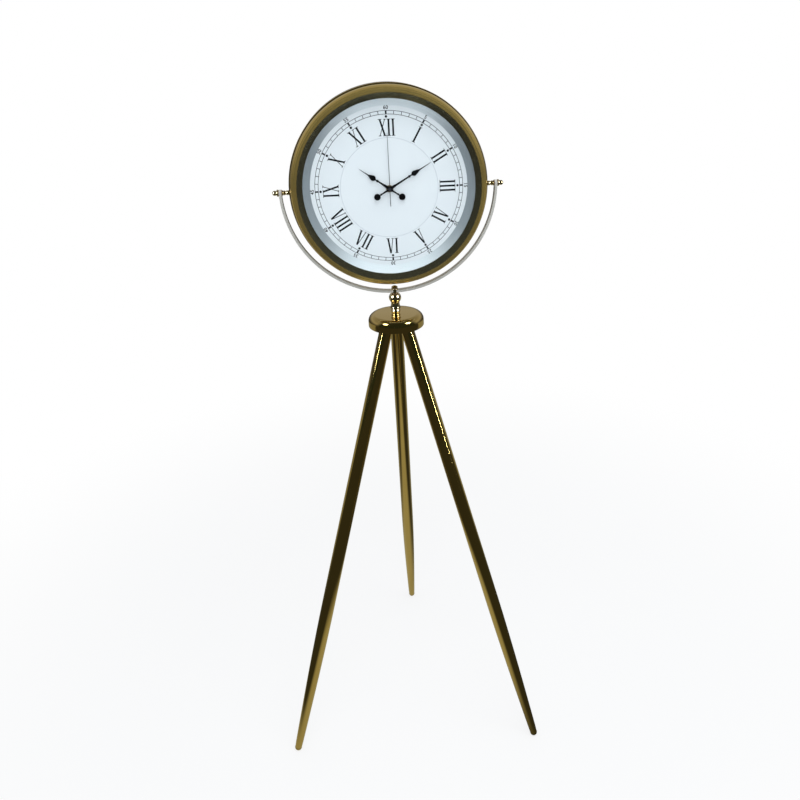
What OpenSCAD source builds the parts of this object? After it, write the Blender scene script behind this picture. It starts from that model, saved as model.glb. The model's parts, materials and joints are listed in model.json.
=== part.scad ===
// Tripod floor clock: a round brass clock head that tilts in a half-ring yoke,
// on a turned post, a round hub and three tapered legs.
// Millimetres, +Z up. The dial faces -Y. The origin is on the floor, under the
// middle of the whole clock's box. Lengths along the clock head's own axis are
// called depths: 0 at the tilt pins, positive towards the back.

/* [Tripod] */
// Height of the underside of the hub cap
hub_h = 986; // [760:1:1200]
// Distance from the tripod's axis to the point where each leg meets the floor
foot_reach = 320; // [240:1:400]
// Distance from the tripod's axis to each leg's axis at the underside of the cap
leg_ring = 22; // [22:0.5:28]
// Turn of the tripod under the clock head, in degrees
tripod_turn = -3.5; // [-30:0.5:30]
// Diameter of a leg at its top
leg_top_d = 26; // [22:0.5:26]
// Diameter of a leg where its taper starts
leg_max_d = 28.5; // [22:0.5:32]
// Diameter of a leg at its tip
leg_tip_d = 16; // [12:0.5:20]
// Length of the lower, tapering part of a leg
taper_len = 380; // [150:5:600]
// Wall of a leg tube
leg_wall = 1.2; // [0.8:0.1:2]
// Height of the part of each tip that the floor flat cuts away
tip_flat = 0.4; // [0.2:0.1:1]

/* [Hub] */
// Diameter of the hub cap
cap_d = 110; // [100:1:130]
// Height of the hub cap
cap_h = 24; // [23:0.5:34]
// Wall of the hub cap
cap_wall = 1.2; // [0.8:0.1:2]
// Radius of the cap's shoulder
cap_round = 14; // [4:0.5:16]
// Thickness of the hub plate inside the cap
hub_t = 16; // [15:0.5:18]
// Diameter of the studs that hold the legs
stud_d = 8; // [6:0.5:10]

/* [Post] */
// Height of the post above the cap
post_h = 41; // [36:0.5:90]
// Diameter of the post's base ring
post_base_d = 19; // [17:0.5:26]
// Height of the post's base ring
post_base_h = 10.5; // [6:0.5:13]
// Diameter of the post's neck under the ball
post_neck_d = 16.5; // [10:0.5:16.5]
// Diameter of the post's ball
post_ball_d = 24; // [20:0.5:30]
// Diameter of the post's thread in the hub
post_thread_d = 8; // [6:0.5:8]
// Diameter of the spigot that the yoke turns on
spigot_d = 6; // [5:0.5:7]

/* [Yoke] */
// Gap between the clock case and the yoke
yoke_gap = 14; // [13:0.5:30]
// Thickness of the yoke's strap
strap_t = 5; // [3:0.5:6]
// Width of the yoke's strap
strap_w = 12; // [10:0.5:13]
// Diameter of the boss under the yoke
boss_d = 13.6; // [13:0.2:20]
// How far the boss stands out of the strap on each side
boss_step = 2; // [1:0.1:3]

/* [Tilt pins] */
// Diameter of the studs that the case tilts on
pin_d = 6; // [4:0.5:8]
// Diameter of the spacers between case and yoke
spacer_d = 9; // [8:0.5:12]
// Diameter of the finials at their base
finial_d = 13; // [10:0.5:18]
// Length of a finial
finial_len = 11; // [8:0.5:16]

/* [Case] */
// Diameter of the case
case_d = 364; // [330:1:420]
// Sheet thickness of the case and the bezel
case_wall = 1.2; // [0.8:0.1:2]
// Depth of the front rim in front of the tilt pins
rim_front = 34; // [30:0.5:40]
// Depth of the case behind the tilt pins
case_back = 28; // [28:0.5:36]
// Width of the bezel from its front rim to the edge of the case
bezel_w = 14.5; // [8:0.5:18]
// Width of the sloping band inside the front rim
cone_w = 11; // [8:0.5:14]
// Depth of the sloping band inside the front rim
cone_depth = 8; // [7:0.5:12]
// Number of screws in the back cover
back_screw_count = 6; // [3:1:12]
// Diameter of the access hole in the back cover
access_d = 110; // [100:1:200]

/* [Dial] */
// Thickness of the glass
glass_t = 2; // [1.5:0.5:3]
// Thickness of the gasket behind the glass
gasket_t = 2; // [1:0.5:3]
// Depth of the dial's face in front of the tilt pins
dial_front = 8; // [8:0.5:9]
// Thickness of the dial plate
dial_t = 1; // [0.5:0.1:1.5]
// Diameter of the dial that shows inside the sloping ring
dial_show_d = 288; // [250:1:296]
// Sheet thickness of the sloping ring
ring_t = 0.8; // [0.5:0.1:1.5]

/* [Hands] */
// Length of the hour hand from its pivot
hour_len = 65; // [40:1:90]
// Length of the minute hand from its pivot
minute_len = 88; // [60:1:130]
// Length of the second hand from its pivot
second_len = 99; // [60:1:135]
// Length of the second hand's tail
second_tail = 31; // [10:1:45]
// Distance from the pivot to the middle of a counterweight
tail_len = 27; // [18:1:40]
// Radius of a counterweight
tail_r = 5.3; // [3:0.1:8]
// Sheet thickness of a hand
hand_t = 0.6; // [0.4:0.1:1]
// Hour shown at rest
show_hour = 10; // [0:1:11]
// Minute shown at rest
show_minute = 10; // [0:0.5:59.5]
// Second shown at rest
show_second = 0; // [0:0.5:59.5]

/* [Movement] */
// Width of the movement
move_w = 60; // [60:1:70]
// Height of the movement above the hands' axis
move_up = 30; // [30:1:36]
// Depth of the movement's housing
move_depth = 16; // [16:0.5:20]
// Wall of the movement's housing
move_wall = 1.5; // [1:0.1:2]
// Diameter of the battery
battery_d = 14.5; // [14.5:0.1:14.5]
// Length of the battery without its button
battery_len = 49; // [49:0.5:49]
// Module of the gears that drive the hands' tubes
motion_m = 0.4333; // [0.4333:0.0001:0.4333]
// Diameter of the setting knob
knob_d = 12; // [8:0.5:16]

/* [Fits] */
// Radial gap of a shaft that turns in a hole
run_gap = 0.06; // [0.02:0.01:0.1]
// Gap between faces that slide past each other
face_gap = 0.1; // [0.05:0.01:0.2]
// Radial gap of parts that are pushed together and stay
seat_gap = 0.15; // [0.05:0.05:0.3]

/* [Hidden] */
$fn = 96;

// Colours
brass = [0.62, 0.50, 0.26];
dark_brass = [0.45, 0.38, 0.20];
strap_metal = [0.62, 0.58, 0.48];
steel = [0.72, 0.72, 0.70];
black_metal = [0.05, 0.05, 0.05];
white_print = [0.93, 0.95, 0.96];
satin_grey = [0.72, 0.74, 0.76];
black_plastic = [0.08, 0.08, 0.09];
white_plastic = [0.9, 0.9, 0.86];
fibre = [0.35, 0.25, 0.18];

// Tripod
leg_base_az = [-150, -30, 90];
function leg_az(i) = leg_base_az[i] + tripod_turn;
foot_x = [for (i = [0:2]) foot_reach * cos(leg_az(i))];
foot_y = [for (i = [0:2]) foot_reach * sin(leg_az(i))];
axis_x = -(max(foot_x) + min(foot_x)) / 2;
axis_y = -(max(foot_y) + min(foot_y)) / 2;
splay = atan((foot_reach - leg_ring) / hub_h);
tip_r = leg_tip_d / 2;
tip_start = (tip_r - tip_flat) / cos(splay);
tip_plug_len = 14;
hub_z = hub_h + 2;
seat_rise = leg_top_d / 2 * sin(splay) + 3.2;
leg_end = (hub_z + seat_rise) / cos(splay);
plug_len = 20;
stud_in_leg = 18;
stud_in_hub = 7;
hub_gap = 1.5;
hub_in_shoulder = max(0, hub_z + hub_t - hub_h - (cap_h - cap_round));
hub_r = cap_d / 2 - cap_round + sqrt(pow(cap_round - cap_wall, 2) - pow(hub_in_shoulder, 2)) - hub_gap;
hub_top = hub_z + hub_t;
cap_top = hub_h + cap_h;
spacer_r = 12;
washer_t = 1;
nut_t = 6.5;
nut_af = 13;

// Post and yoke
post_top = cap_top + post_h;
fibre_t = 0.8;
boss_low = post_top + fibre_t + face_gap;
case_r = case_d / 2;
yoke_in = case_r + yoke_gap;
yoke_out = yoke_in + strap_t;
pin_h = boss_low + boss_step + yoke_out;
boss_high = pin_h - yoke_in + boss_step;
swivel_nut_z = boss_high + fibre_t + face_gap;
swivel_nut_t = 5.4;
swivel_nut_r = 6;

// Case radii and depths
bezel_r = case_r - 2.5;
rim_r = case_r - bezel_w;
rim_bead = 1.8;
open_r = rim_r - cone_w;
open_depth = rim_front - 1.5 - cone_depth;
glass_front = open_depth - case_wall;
glass_r = open_r + 5;
gasket_front = glass_front - glass_t;
ring_front = gasket_front - gasket_t;
ring_in_r = dial_show_d / 2;
ring_lip_r = open_r + 1;
ring_out_r = glass_r;
dial_r = ring_in_r + 4;
flange_front = dial_front - dial_t;
neck_r = bezel_r - case_wall - seat_gap;
shoulder = flange_front + 3.2;
neck_front = shoulder + 6;
back_lip_w = 8;
screw_r = 1.25;
screw_head_r = 2.6;
screw_head_t = 1.4;
pin_nut_af = 10;
pin_nut_t = 4.5;
lid_skirt = 4;
lid_lap = 3;
lid_knob_r = 5;
lid_knob_h = 7;
bush_nut_af = 12;
pin_bore = pin_d / 2 + run_gap;
spacer_end = yoke_in - fibre_t - face_gap;
finial_start = yoke_out + fibre_t + face_gap;

// Movement: all depths are positive towards the back
move_front = -flange_front + washer_t;
move_back = move_front + move_depth;
room_front = move_front + move_wall;
room_back = move_back - move_wall;
room_low = -27;
bay_low = -45;
bush_r = 4;
bush_front = -dial_front - 3.2;
nut_front = -dial_front - 2.5;
second_arbor_r = 0.5;
second_t = 0.4;
second_hub_r = 3;
cannon_r = 1.2;
hour_tube_r = 2.2;
wheel_t = 0.8;
pinion_t = 1.2;
layer_gap = 1.6;
pivot_in = 0.3;
wheel_bore = 0.4;
knob_stem_r = 1.2;
knob_t = 3.4;
knob_ribs = 18;
post_rod_r = 1.2;
function layer(i) = room_front + 0.6 + i * layer_gap;
hour_hand_at = -dial_front - 4.6;
minute_hand_at = -dial_front - 6.6;
second_hand_at = -dial_front - 8.8;

// Gears: teeth, module and place of each arbor
rotor_teeth = 8;
inter_teeth = 48;
inter_pinion = 8;
seconds_teeth = 40;
seconds_pinion = 8;
third_teeth = 60;
third_pinion = 8;
centre_teeth = 64;
cannon_teeth = 15;
minute_teeth = 45;
minute_pinion = 12;
hour_teeth = 48;
rotor_m = 0.25;
inter_m = 0.3;
third_m = 0.36;
centre_m = 0.34;
third_at = [0, (third_teeth + seconds_pinion) / 2 * third_m];
minute_at = [0, -(cannon_teeth + minute_teeth) / 2 * motion_m];
inter_at = [-(seconds_teeth + inter_pinion) / 2 * inter_m, 0];
rotor_at = [inter_at[0] - (inter_teeth + rotor_teeth) / 2 * rotor_m, 0];

// Coil and battery
bridge_front = layer(2) + 1.4;
bridge_t = 1.1;
stator_front = bridge_front + bridge_t + 0.2;
stator_t = 1.5;
stator_left = -24;
stator_right = rotor_at[0] + 4.9;
stator_half = 5;
stator_arm = 3;
stator_low = -24.5;
stator_posts = [[stator_left + 1.4, stator_half - 1.4], [stator_right - 1.5, stator_low + 1.5]];
board_t = 1;
board_front = room_back - 3;
board_posts = [[-26, 25], [-16, 14]];
coil_x = stator_left + 2;
coil_r = 4.4;
coil_core_r = 2.4;
battery_button = 1.4;
coil_low = -21;
coil_high = -9;
battery_z = (room_low - move_wall + bay_low) / 2;
battery_depth = room_front + battery_d / 2 + seat_gap;

// Places the children on the tripod's vertical axis
module on_axis() {
    translate([axis_x, axis_y, 0]) children();
}

// Places the children with the origin where the tilt pins cross the clock's middle
module in_head() {
    translate([axis_x, axis_y, pin_h]) children();
}

// Turns a shape drawn along +Z to point to the back, at a place on the dial's plane
module to_back(place = [0, 0], depth = 0) {
    translate([place[0], depth, place[1]]) rotate([-90, 0, 0]) children();
}

// Turns a shape drawn along +Z to point outwards along X: side is 1 for right, -1 for left
module to_side(side) {
    rotate([0, 90 * side, 0]) children();
}

// A ring round +Z between two radii
module ring(outer, inner, height) {
    difference() {
        cylinder(r = outer, h = height);
        translate([0, 0, -1]) cylinder(r = inner, h = height + 2);
    }
}

// A hexagonal nut with a round hole
module hex_nut(across, bore, height) {
    difference() {
        cylinder(d = across / cos(30), h = height, $fn = 6);
        translate([0, 0, -1]) cylinder(r = bore, h = height + 2);
    }
}

// Points on an arc from one angle to another
function arc(centre, radius, from, to, steps = 8) = [
    for (i = [0:steps]) let (a = from + (to - from) * i / steps)
        centre + radius * [cos(a), sin(a)]
];

// Leg i: shapes drawn along +Z rise from the floor along the leg
module along_leg(i) {
    on_axis() rotate([0, 0, leg_az(i)]) translate([foot_reach, 0, 0]) rotate([0, -splay, 0]) children();
}

function leg_r(s) = let (u = min(1, (s - tip_start) / taper_len))
    s < tip_start + taper_len
        ? tip_r + (leg_max_d / 2 - tip_r) * sin(90 * u)
        : leg_max_d / 2 + (leg_top_d - leg_max_d) / 2
            * (s - tip_start - taper_len) / (leg_end - tip_start - taper_len);
leg_stations = [for (k = [0:12]) tip_start + taper_len * k / 12];

module leg_tube(i) {
    outer = [for (s = leg_stations) [leg_r(s), s]];
    inner = [for (k = [12:-1:0]) [leg_r(leg_stations[k]) - leg_wall, leg_stations[k]]];
    color(brass) along_leg(i) rotate_extrude()
        polygon(concat(outer, [[leg_top_d / 2, leg_end], [leg_top_d / 2 - leg_wall, leg_end]], inner));
}

module leg_tip(i) {
    color(brass) difference() {
        along_leg(i) translate([0, 0, tip_start]) {
            difference() {
                sphere(r = tip_r);
                translate([-leg_tip_d, -leg_tip_d, 0]) cube([2 * leg_tip_d, 2 * leg_tip_d, leg_tip_d]);
            }
            cylinder(r = tip_r - leg_wall, h = tip_plug_len);
        }
        along_leg(i) rotate([0, splay, 0])
            translate([-leg_tip_d, -leg_tip_d, -leg_tip_d]) cube([2 * leg_tip_d, 2 * leg_tip_d, leg_tip_d]);
    }
}

module leg_plugs() {
    color(steel) for (i = [0:2])
        along_leg(i) translate([0, 0, leg_end - plug_len])
            ring(leg_top_d / 2 - leg_wall, stud_d / 2, plug_len);
}

module leg_studs() {
    color(steel) for (i = [0:2])
        along_leg(i) translate([0, 0, leg_end - stud_in_leg])
            cylinder(d = stud_d, h = stud_in_leg + stud_in_hub);
}

// Hub plate with three slanted seats for the legs and a raised middle under the cap
module hub_plate() {
    color(dark_brass) difference() {
        on_axis() {
            translate([0, 0, hub_z]) cylinder(r = hub_r, h = hub_t);
            translate([0, 0, hub_top - 1]) cylinder(r = spacer_r, h = cap_top - cap_wall - hub_top + 1);
        }
        on_axis() translate([0, 0, hub_h]) cylinder(d = post_thread_d, h = cap_h);
        for (i = [0:2]) along_leg(i) {
            translate([0, 0, leg_end - 2 * seat_rise - 6])
                cylinder(r = leg_top_d / 2 + seat_gap, h = 2 * seat_rise + 6);
            cylinder(d = stud_d, h = leg_end + stud_in_hub + 0.3);
        }
    }
}

module hub_cap() {
    outer = concat([[cap_d / 2, 0]], arc([cap_d / 2 - cap_round, cap_h - cap_round], cap_round, 0, 90),
        [[post_thread_d / 2 + 0.2, cap_h]]);
    inner = concat([[post_thread_d / 2 + 0.2, cap_h - cap_wall]],
        arc([cap_d / 2 - cap_round, cap_h - cap_round], cap_round - cap_wall, 90, 0),
        [[cap_d / 2 - cap_wall, 0]]);
    color(brass) on_axis() translate([0, 0, hub_h]) rotate_extrude() polygon(concat(outer, inner));
}

// Turned post: base ring, bell neck, ball and collar, with a thread below and a spigot above
module post() {
    ball_z = post_h - post_ball_d * 0.36;
    neck_z = ball_z - post_ball_d * 0.36;
    base_r = post_base_d / 2;
    neck_r = post_neck_d / 2;
    bead = post_base_h * 0.5;
    flare_r = base_r + 0.6;
    flare_z = post_base_h + 0.8;
    color(brass) on_axis() translate([0, 0, cap_top]) {
        rotate_extrude() polygon(concat(
            [[0, 0], [base_r - 1.4, 0]],
            arc([base_r - bead, post_base_h * 0.5], bead, -40, 40, 6),
            [[base_r - 1.2, post_base_h], [flare_r, flare_z]],
            [for (u = [0.2:0.2:1]) [neck_r + (flare_r - neck_r) * pow(1 - u, 2), flare_z + u * (neck_z - flare_z)]],
            [[neck_r, neck_z + 2], [0, neck_z + 2]]));
        intersection() {
            translate([0, 0, ball_z]) sphere(d = post_ball_d);
            cylinder(d = 2 * post_ball_d, h = post_h);
        }
        translate([0, 0, -cap_h - nut_t - washer_t + 0.5])
            cylinder(d = post_thread_d, h = cap_h + nut_t + washer_t);
        translate([0, 0, post_h - 1])
            cylinder(d = spigot_d, h = swivel_nut_z + swivel_nut_t - 1.2 - post_top + 1);
    }
}

module hub_washer() {
    color(steel) on_axis() translate([0, 0, hub_z - washer_t])
        ring(nut_af / 2 + 0.4, post_thread_d / 2, washer_t);
}

module hub_nut() {
    color(steel) on_axis() translate([0, 0, hub_z - washer_t - nut_t])
        hex_nut(nut_af, post_thread_d / 2, nut_t);
}

// Low domed nut that keeps the yoke on its spigot
module swivel_nut() {
    color(brass) on_axis() translate([0, 0, swivel_nut_z]) difference() {
        union() {
            cylinder(r = swivel_nut_r, h = swivel_nut_t * 0.6);
            intersection() {
                translate([0, 0, -swivel_nut_r * 0.4]) sphere(r = swivel_nut_r * 1.25);
                cylinder(r = swivel_nut_r, h = swivel_nut_t);
            }
        }
        translate([0, 0, -1]) cylinder(d = spigot_d, h = swivel_nut_t - 1.2 + 1);
    }
}

// Half ring of flat strap with an eye at each end and a boss underneath
module yoke() {
    color(strap_metal) in_head() difference() {
        union() {
            difference() {
                to_back(depth = -strap_w / 2) ring(yoke_out, yoke_in, strap_w);
                translate([-2 * case_d, -strap_w, 0]) cube([4 * case_d, 2 * strap_w, 2 * case_d]);
            }
            for (side = [-1, 1]) translate([side * yoke_in, 0, 0])
                to_side(side) cylinder(d = strap_w, h = strap_t);
            translate([0, 0, boss_low - pin_h]) cylinder(d = boss_d, h = boss_high - boss_low);
        }
        for (side = [-1, 1]) to_side(side) translate([0, 0, yoke_in - 5])
            cylinder(r = pin_bore, h = strap_t + 10);
        translate([0, 0, boss_low - pin_h - 1])
            cylinder(r = spigot_d / 2 + run_gap, h = boss_high - boss_low + 2);
    }
}

module swivel_washers() {
    color(fibre) on_axis() for (z = [post_top, boss_high + face_gap])
        translate([0, 0, z]) ring(boss_d / 2 - 0.6, spigot_d / 2, fibre_t);
}

// Ring of sheet metal turned from a list of points: radius, then depth towards the back
module turned(points) {
    in_head() to_back() rotate_extrude() polygon(points);
}

// Case drum: wall, shoulder, neck for the bezel, flange for the dial and lip for the back cover
module drum() {
    color(brass) difference() {
        turned([[case_r, case_back], [case_r, -shoulder + 2.4], [case_r - 0.7, -shoulder + 0.7],
            [case_r - 2.4, -shoulder], [neck_r, -shoulder], [neck_r, -neck_front],
            [neck_r - case_wall, -neck_front], [neck_r - case_wall, -shoulder + case_wall],
            [case_r - case_wall, -shoulder + case_wall + 1], [case_r - case_wall, -flange_front],
            [ring_in_r - 6, -flange_front], [ring_in_r - 6, -flange_front + case_wall],
            [case_r - case_wall, -flange_front + case_wall], [case_r - case_wall, case_back - case_wall],
            [case_r - back_lip_w, case_back - case_wall], [case_r - back_lip_w, case_back]]);
        for (side = [-1, 1]) in_head() to_side(side) translate([0, 0, case_r - 6])
            cylinder(d = pin_d, h = 12);
        back_screw_places() translate([0, 0, -6]) cylinder(r = screw_r, h = 12);
    }
}

// Bezel: glass flange, sloping band, round front rim and a swelling outer band
module bezel() {
    skirt_back = -shoulder - 0.6;
    span = rim_front - 2 + skirt_back;
    outer = concat(
        [[open_r, -open_depth]],
        arc([rim_r, -rim_front + rim_bead], rim_bead, 215, 300, 6),
        [for (k = [0:8]) let (u = k / 8)
            [rim_r + 1.4 + (bezel_r - rim_r - 1.4) * sin(90 * u),
             -rim_front + 1.4 + (span - 3) * (1 - cos(90 * u))]],
        [[bezel_r, skirt_back]]);
    inner = concat(
        [[bezel_r - case_wall, skirt_back]],
        [for (k = [8:-1:0]) let (u = k / 8)
            [rim_r + 0.9 + (bezel_r - case_wall - rim_r - 0.9) * sin(90 * u),
             -rim_front + 2.9 + (span - 4) * (1 - cos(90 * u))]],
        [[rim_r - 0.4, -rim_front + 2.7], [open_r + case_wall + 0.4, -open_depth - 0.3],
         [glass_r + 1, -open_depth], [glass_r + 1, -glass_front], [open_r, -glass_front]]);
    color(brass) turned(concat(outer, inner));
}

module glass() {
    color([0.8, 0.9, 0.95, 0.3]) in_head() to_back(depth = -glass_front) cylinder(r = glass_r, h = glass_t);
}

module glass_gasket() {
    color(black_plastic) in_head() to_back(depth = -gasket_front) ring(glass_r, ring_lip_r + 0.4, gasket_t);
}

// Sloping ring between the dial and the glass
module dial_ring() {
    color(satin_grey) turned([
        [ring_in_r, -dial_front], [ring_in_r + 0.4, -dial_front - 1], [ring_lip_r, -ring_front],
        [ring_out_r, -ring_front], [ring_out_r, -flange_front], [ring_out_r - ring_t, -flange_front],
        [ring_out_r - ring_t, -ring_front + ring_t], [ring_lip_r + 0.6, -ring_front + ring_t],
        [ring_in_r + 1.6, -dial_front]]);
}

module dial() {
    color(white_print) in_head() to_back(depth = -dial_front) ring(dial_r, bush_r + 0.2, dial_t);
}

module back_screw_places() {
    in_head() for (k = [0:back_screw_count - 1]) let (a = 360 / back_screw_count * (k + 0.5))
        to_back((case_r - back_lip_w / 2 - 0.6) * [sin(a), cos(a)], case_back) children();
}

module back_cover() {
    color(dark_brass) difference() {
        in_head() to_back(depth = case_back) ring(case_r - 0.6, access_d / 2, case_wall);
        back_screw_places() translate([0, 0, -1]) cylinder(r = screw_r, h = case_wall + 2);
    }
}

module back_screws() {
    color(steel) back_screw_places() {
        translate([0, 0, -4]) cylinder(r = screw_r, h = 4 + case_wall);
        translate([0, 0, case_wall]) cylinder(r1 = screw_head_r, r2 = screw_head_r - 0.7, h = screw_head_t);
    }
}

// Lid that is pushed into the access hole, with a finger knob
module access_lid() {
    skirt_r = access_d / 2 - face_gap;
    color(dark_brass) in_head() to_back(depth = case_back) {
        translate([0, 0, -lid_skirt]) ring(skirt_r, skirt_r - case_wall, lid_skirt + case_wall);
        translate([0, 0, case_wall]) cylinder(r = access_d / 2 + lid_lap, h = case_wall);
        translate([0, 0, case_wall]) cylinder(r = lid_knob_r, h = lid_knob_h);
    }
}

// Stud through the case wall with its turned spacer
module trunnion(side) {
    color(brass) in_head() to_side(side) {
        translate([0, 0, case_r - 9]) cylinder(d = pin_d, h = finial_start + finial_len / 2 - case_r + 9);
        rotate_extrude() polygon([
            [0, case_r], [spacer_d / 2, case_r], [spacer_d / 2, case_r + 2.2],
            [spacer_d / 2 - 1.1, case_r + 2.9],
            [spacer_d / 2 - 0.9, case_r + 3.6], [spacer_d / 2 - 0.5, (case_r + spacer_end) / 2],
            [spacer_d / 2 - 0.9, spacer_end - 3.6], [spacer_d / 2 - 1.1, spacer_end - 2.9],
            [spacer_d / 2, spacer_end - 2.2], [spacer_d / 2, spacer_end], [0, spacer_end]]);
    }
}

// Turned end nut: round base, waist and blunt point
module finial(side) {
    base_r = finial_d / 2;
    color(brass) in_head() to_side(side) translate([0, 0, finial_start]) difference() {
        rotate_extrude() polygon(concat(
            [[0, 0], [base_r - 0.6, 0], [base_r, 0.8], [base_r, 2], [base_r - 0.8, 2.8]],
            arc([0, finial_len - 3.2], 3.2, 20, 90, 6)));
        translate([0, 0, -1]) cylinder(d = pin_d, h = finial_len / 2 + 1);
    }
}

module trunnion_nuts() {
    color(steel) in_head() for (side = [-1, 1]) to_side(side)
        translate([0, 0, case_r - case_wall - pin_nut_t - face_gap])
            hex_nut(pin_nut_af, pin_d / 2, pin_nut_t);
}

module tilt_washers() {
    color(fibre) in_head() for (side = [-1, 1]) to_side(side) {
        translate([0, 0, spacer_end]) ring(strap_w / 2 - 0.4, pin_d / 2, fibre_t);
        translate([0, 0, finial_start - fibre_t]) ring(strap_w / 2 - 0.4, pin_d / 2, fibre_t);
    }
}

// Tooth outline round +Z: one tooth points along angle phase
function gear_outline(teeth, m, phase) = let (
        pitch_r = teeth * m / 2, tip = pitch_r + 0.8 * m, root = pitch_r - 1.25 * m, step = 360 / teeth)
    [for (i = [0:teeth - 1], c = [[root, -0.27], [pitch_r, -0.2], [tip, -0.08], [tip, 0.08], [pitch_r, 0.2],
            [root, 0.27]])
        c[0] * [cos(phase + step * (i + c[1])), sin(phase + step * (i + c[1]))]];

module gear(teeth, m, phase, height, bore) {
    linear_extrude(height) difference() {
        polygon(gear_outline(teeth, m, phase));
        circle(r = bore);
    }
}

// Direction from one arbor to another, as the angle that gear() uses
function aim(from, to) = atan2(from[1] - to[1], to[0] - from[0]);
function gap_phase(teeth, from, to) = aim(from, to) + 180 / teeth;

module movement_housing() {
    half = move_w / 2;
    color(black_plastic) in_head() difference() {
        union() {
            difference() {
                translate([-half, move_front, bay_low - move_wall])
                    cube([move_w, move_depth - move_wall, move_up - bay_low + move_wall]);
                translate([-half + move_wall, room_front, room_low])
                    cube([move_w - 2 * move_wall, move_depth, move_up - move_wall - room_low]);
                translate([-half + move_wall, room_front, bay_low])
                    cube([move_w - 2 * move_wall, move_depth, room_low - bay_low - move_wall]);
            }
            to_back(depth = bush_front) cylinder(r = bush_r, h = move_front - bush_front + 1);
            for (place = stator_posts) to_back(place, room_front - 0.5)
                cylinder(r = post_rod_r, h = stator_front - room_front + 0.5);
        }
        to_back(depth = bush_front - 1) cylinder(r = hour_tube_r + run_gap, h = room_front - bush_front + 2);
        for (place = [third_at, minute_at])
            to_back(place, room_front - 1) cylinder(r = second_arbor_r + run_gap, h = 2);
    }
}

module movement_cover() {
    half = move_w / 2;
    rim_half = half - move_wall - seat_gap;
    color(black_plastic) in_head() difference() {
        union() {
            translate([-half, room_back, room_low - move_wall])
                cube([move_w, move_wall, move_up - room_low + move_wall]);
            for (place = [[0, 0], third_at, inter_at, rotor_at])
                to_back(place, room_back - 1) cylinder(r = 1.6, h = 1.5);
            for (place = board_posts)
                to_back(place, board_front + board_t) cylinder(r = post_rod_r, h = room_back - board_front);
            difference() {
                translate([-rim_half, room_back - 1.5, room_low + seat_gap])
                    cube([2 * rim_half, 2, move_up - move_wall - room_low - 2 * seat_gap]);
                translate([-rim_half + 1, room_back - 2, room_low + seat_gap + 1])
                    cube([2 * rim_half - 2, 3, move_up - move_wall - room_low - 2 * seat_gap - 2]);
            }
        }
        for (place = [third_at, inter_at, rotor_at, [0, 0]])
            to_back(place, room_back - 2) cylinder(r = second_arbor_r + run_gap, h = 2.6);
        to_back(minute_at, room_back - 2) cylinder(r = knob_stem_r + run_gap, h = 5);
    }
}

// Arm that carries the front pivots of the rotor and the intermediate wheel
module train_bridge() {
    low = rotor_at[0] - 7.6;
    high = inter_at[0] + 2;
    half = 1.8;
    color(white_plastic) in_head() difference() {
        union() {
            translate([low, bridge_front, -half]) cube([high - low, bridge_t, 2 * half]);
            translate([low, room_front, -half]) cube([3, bridge_front + bridge_t - room_front, 2 * half]);
        }
        for (place = [inter_at, rotor_at])
            to_back(place, bridge_front - 1) cylinder(r = second_arbor_r + run_gap, h = bridge_t + 2);
    }
}

module bush_nut() {
    color(brass) in_head() to_back(depth = nut_front) hex_nut(bush_nut_af, bush_r, -dial_front - nut_front);
}

module bush_washer() {
    color(black_plastic) in_head() to_back(depth = -flange_front) ring(11, bush_r, washer_t);
}

// Closed iron path: plate round the rotor, arm through the coil and return arm
module stator() {
    color(steel) in_head() difference() {
        translate([0, stator_front, 0]) {
            translate([stator_left, 0, -stator_half])
                cube([stator_right - stator_left, stator_t, 2 * stator_half]);
            translate([coil_x - stator_arm / 2, 0, stator_low]) cube([stator_arm, stator_t, -stator_low]);
            translate([coil_x - stator_arm / 2, 0, stator_low])
                cube([stator_right - coil_x + stator_arm / 2, stator_t, stator_arm]);
            translate([stator_right - stator_arm, 0, stator_low])
                cube([stator_arm, stator_t, -stator_low - stator_half]);
        }
        to_back(rotor_at, stator_front - 1) cylinder(r = 3.4, h = stator_t + 2);
    }
}

module coil_core_hole() {
    translate([coil_x - stator_arm / 2, stator_front, coil_low - 3])
        cube([stator_arm, stator_t, coil_high - coil_low + 6]);
}

module coil() {
    color([0.72, 0.36, 0.16]) in_head() difference() {
        translate([coil_x, stator_front + stator_t / 2, coil_low + 1])
            cylinder(r = coil_r, h = coil_high - coil_low - 2);
        translate([coil_x, stator_front + stator_t / 2, coil_low])
            cylinder(r = coil_core_r, h = coil_high - coil_low);
    }
}

module coil_bobbin() {
    color(white_plastic) in_head() difference() {
        translate([coil_x, stator_front + stator_t / 2, coil_low]) {
            cylinder(r = coil_core_r, h = coil_high - coil_low);
            cylinder(r = coil_r + 0.4, h = 1);
            translate([0, 0, coil_high - coil_low - 1]) cylinder(r = coil_r + 0.4, h = 1);
        }
        coil_core_hole();
    }
}

module circuit_board() {
    chip_t = 1.2;
    color([0.1, 0.35, 0.2]) in_head() {
        translate([-28, board_front, 12]) cube([14, board_t, 15]);
        translate([-24, board_front - chip_t, 15]) cube([6, chip_t, 5]);
    }
}

module crystal() {
    can_r = 1.05;
    color(steel) in_head() translate([-24, board_front - can_r, 22]) rotate([0, 90, 0])
        cylinder(r = can_r, h = 6);
}

module battery() {
    color([0.2, 0.22, 0.25]) in_head() translate([0, battery_depth, battery_z]) rotate([0, 90, 0]) {
        translate([0, 0, -battery_len / 2]) cylinder(d = battery_d, h = battery_len);
        translate([0, 0, battery_len / 2 - 0.5]) cylinder(r = 2.7, h = battery_button + 0.5);
    }
}

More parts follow.
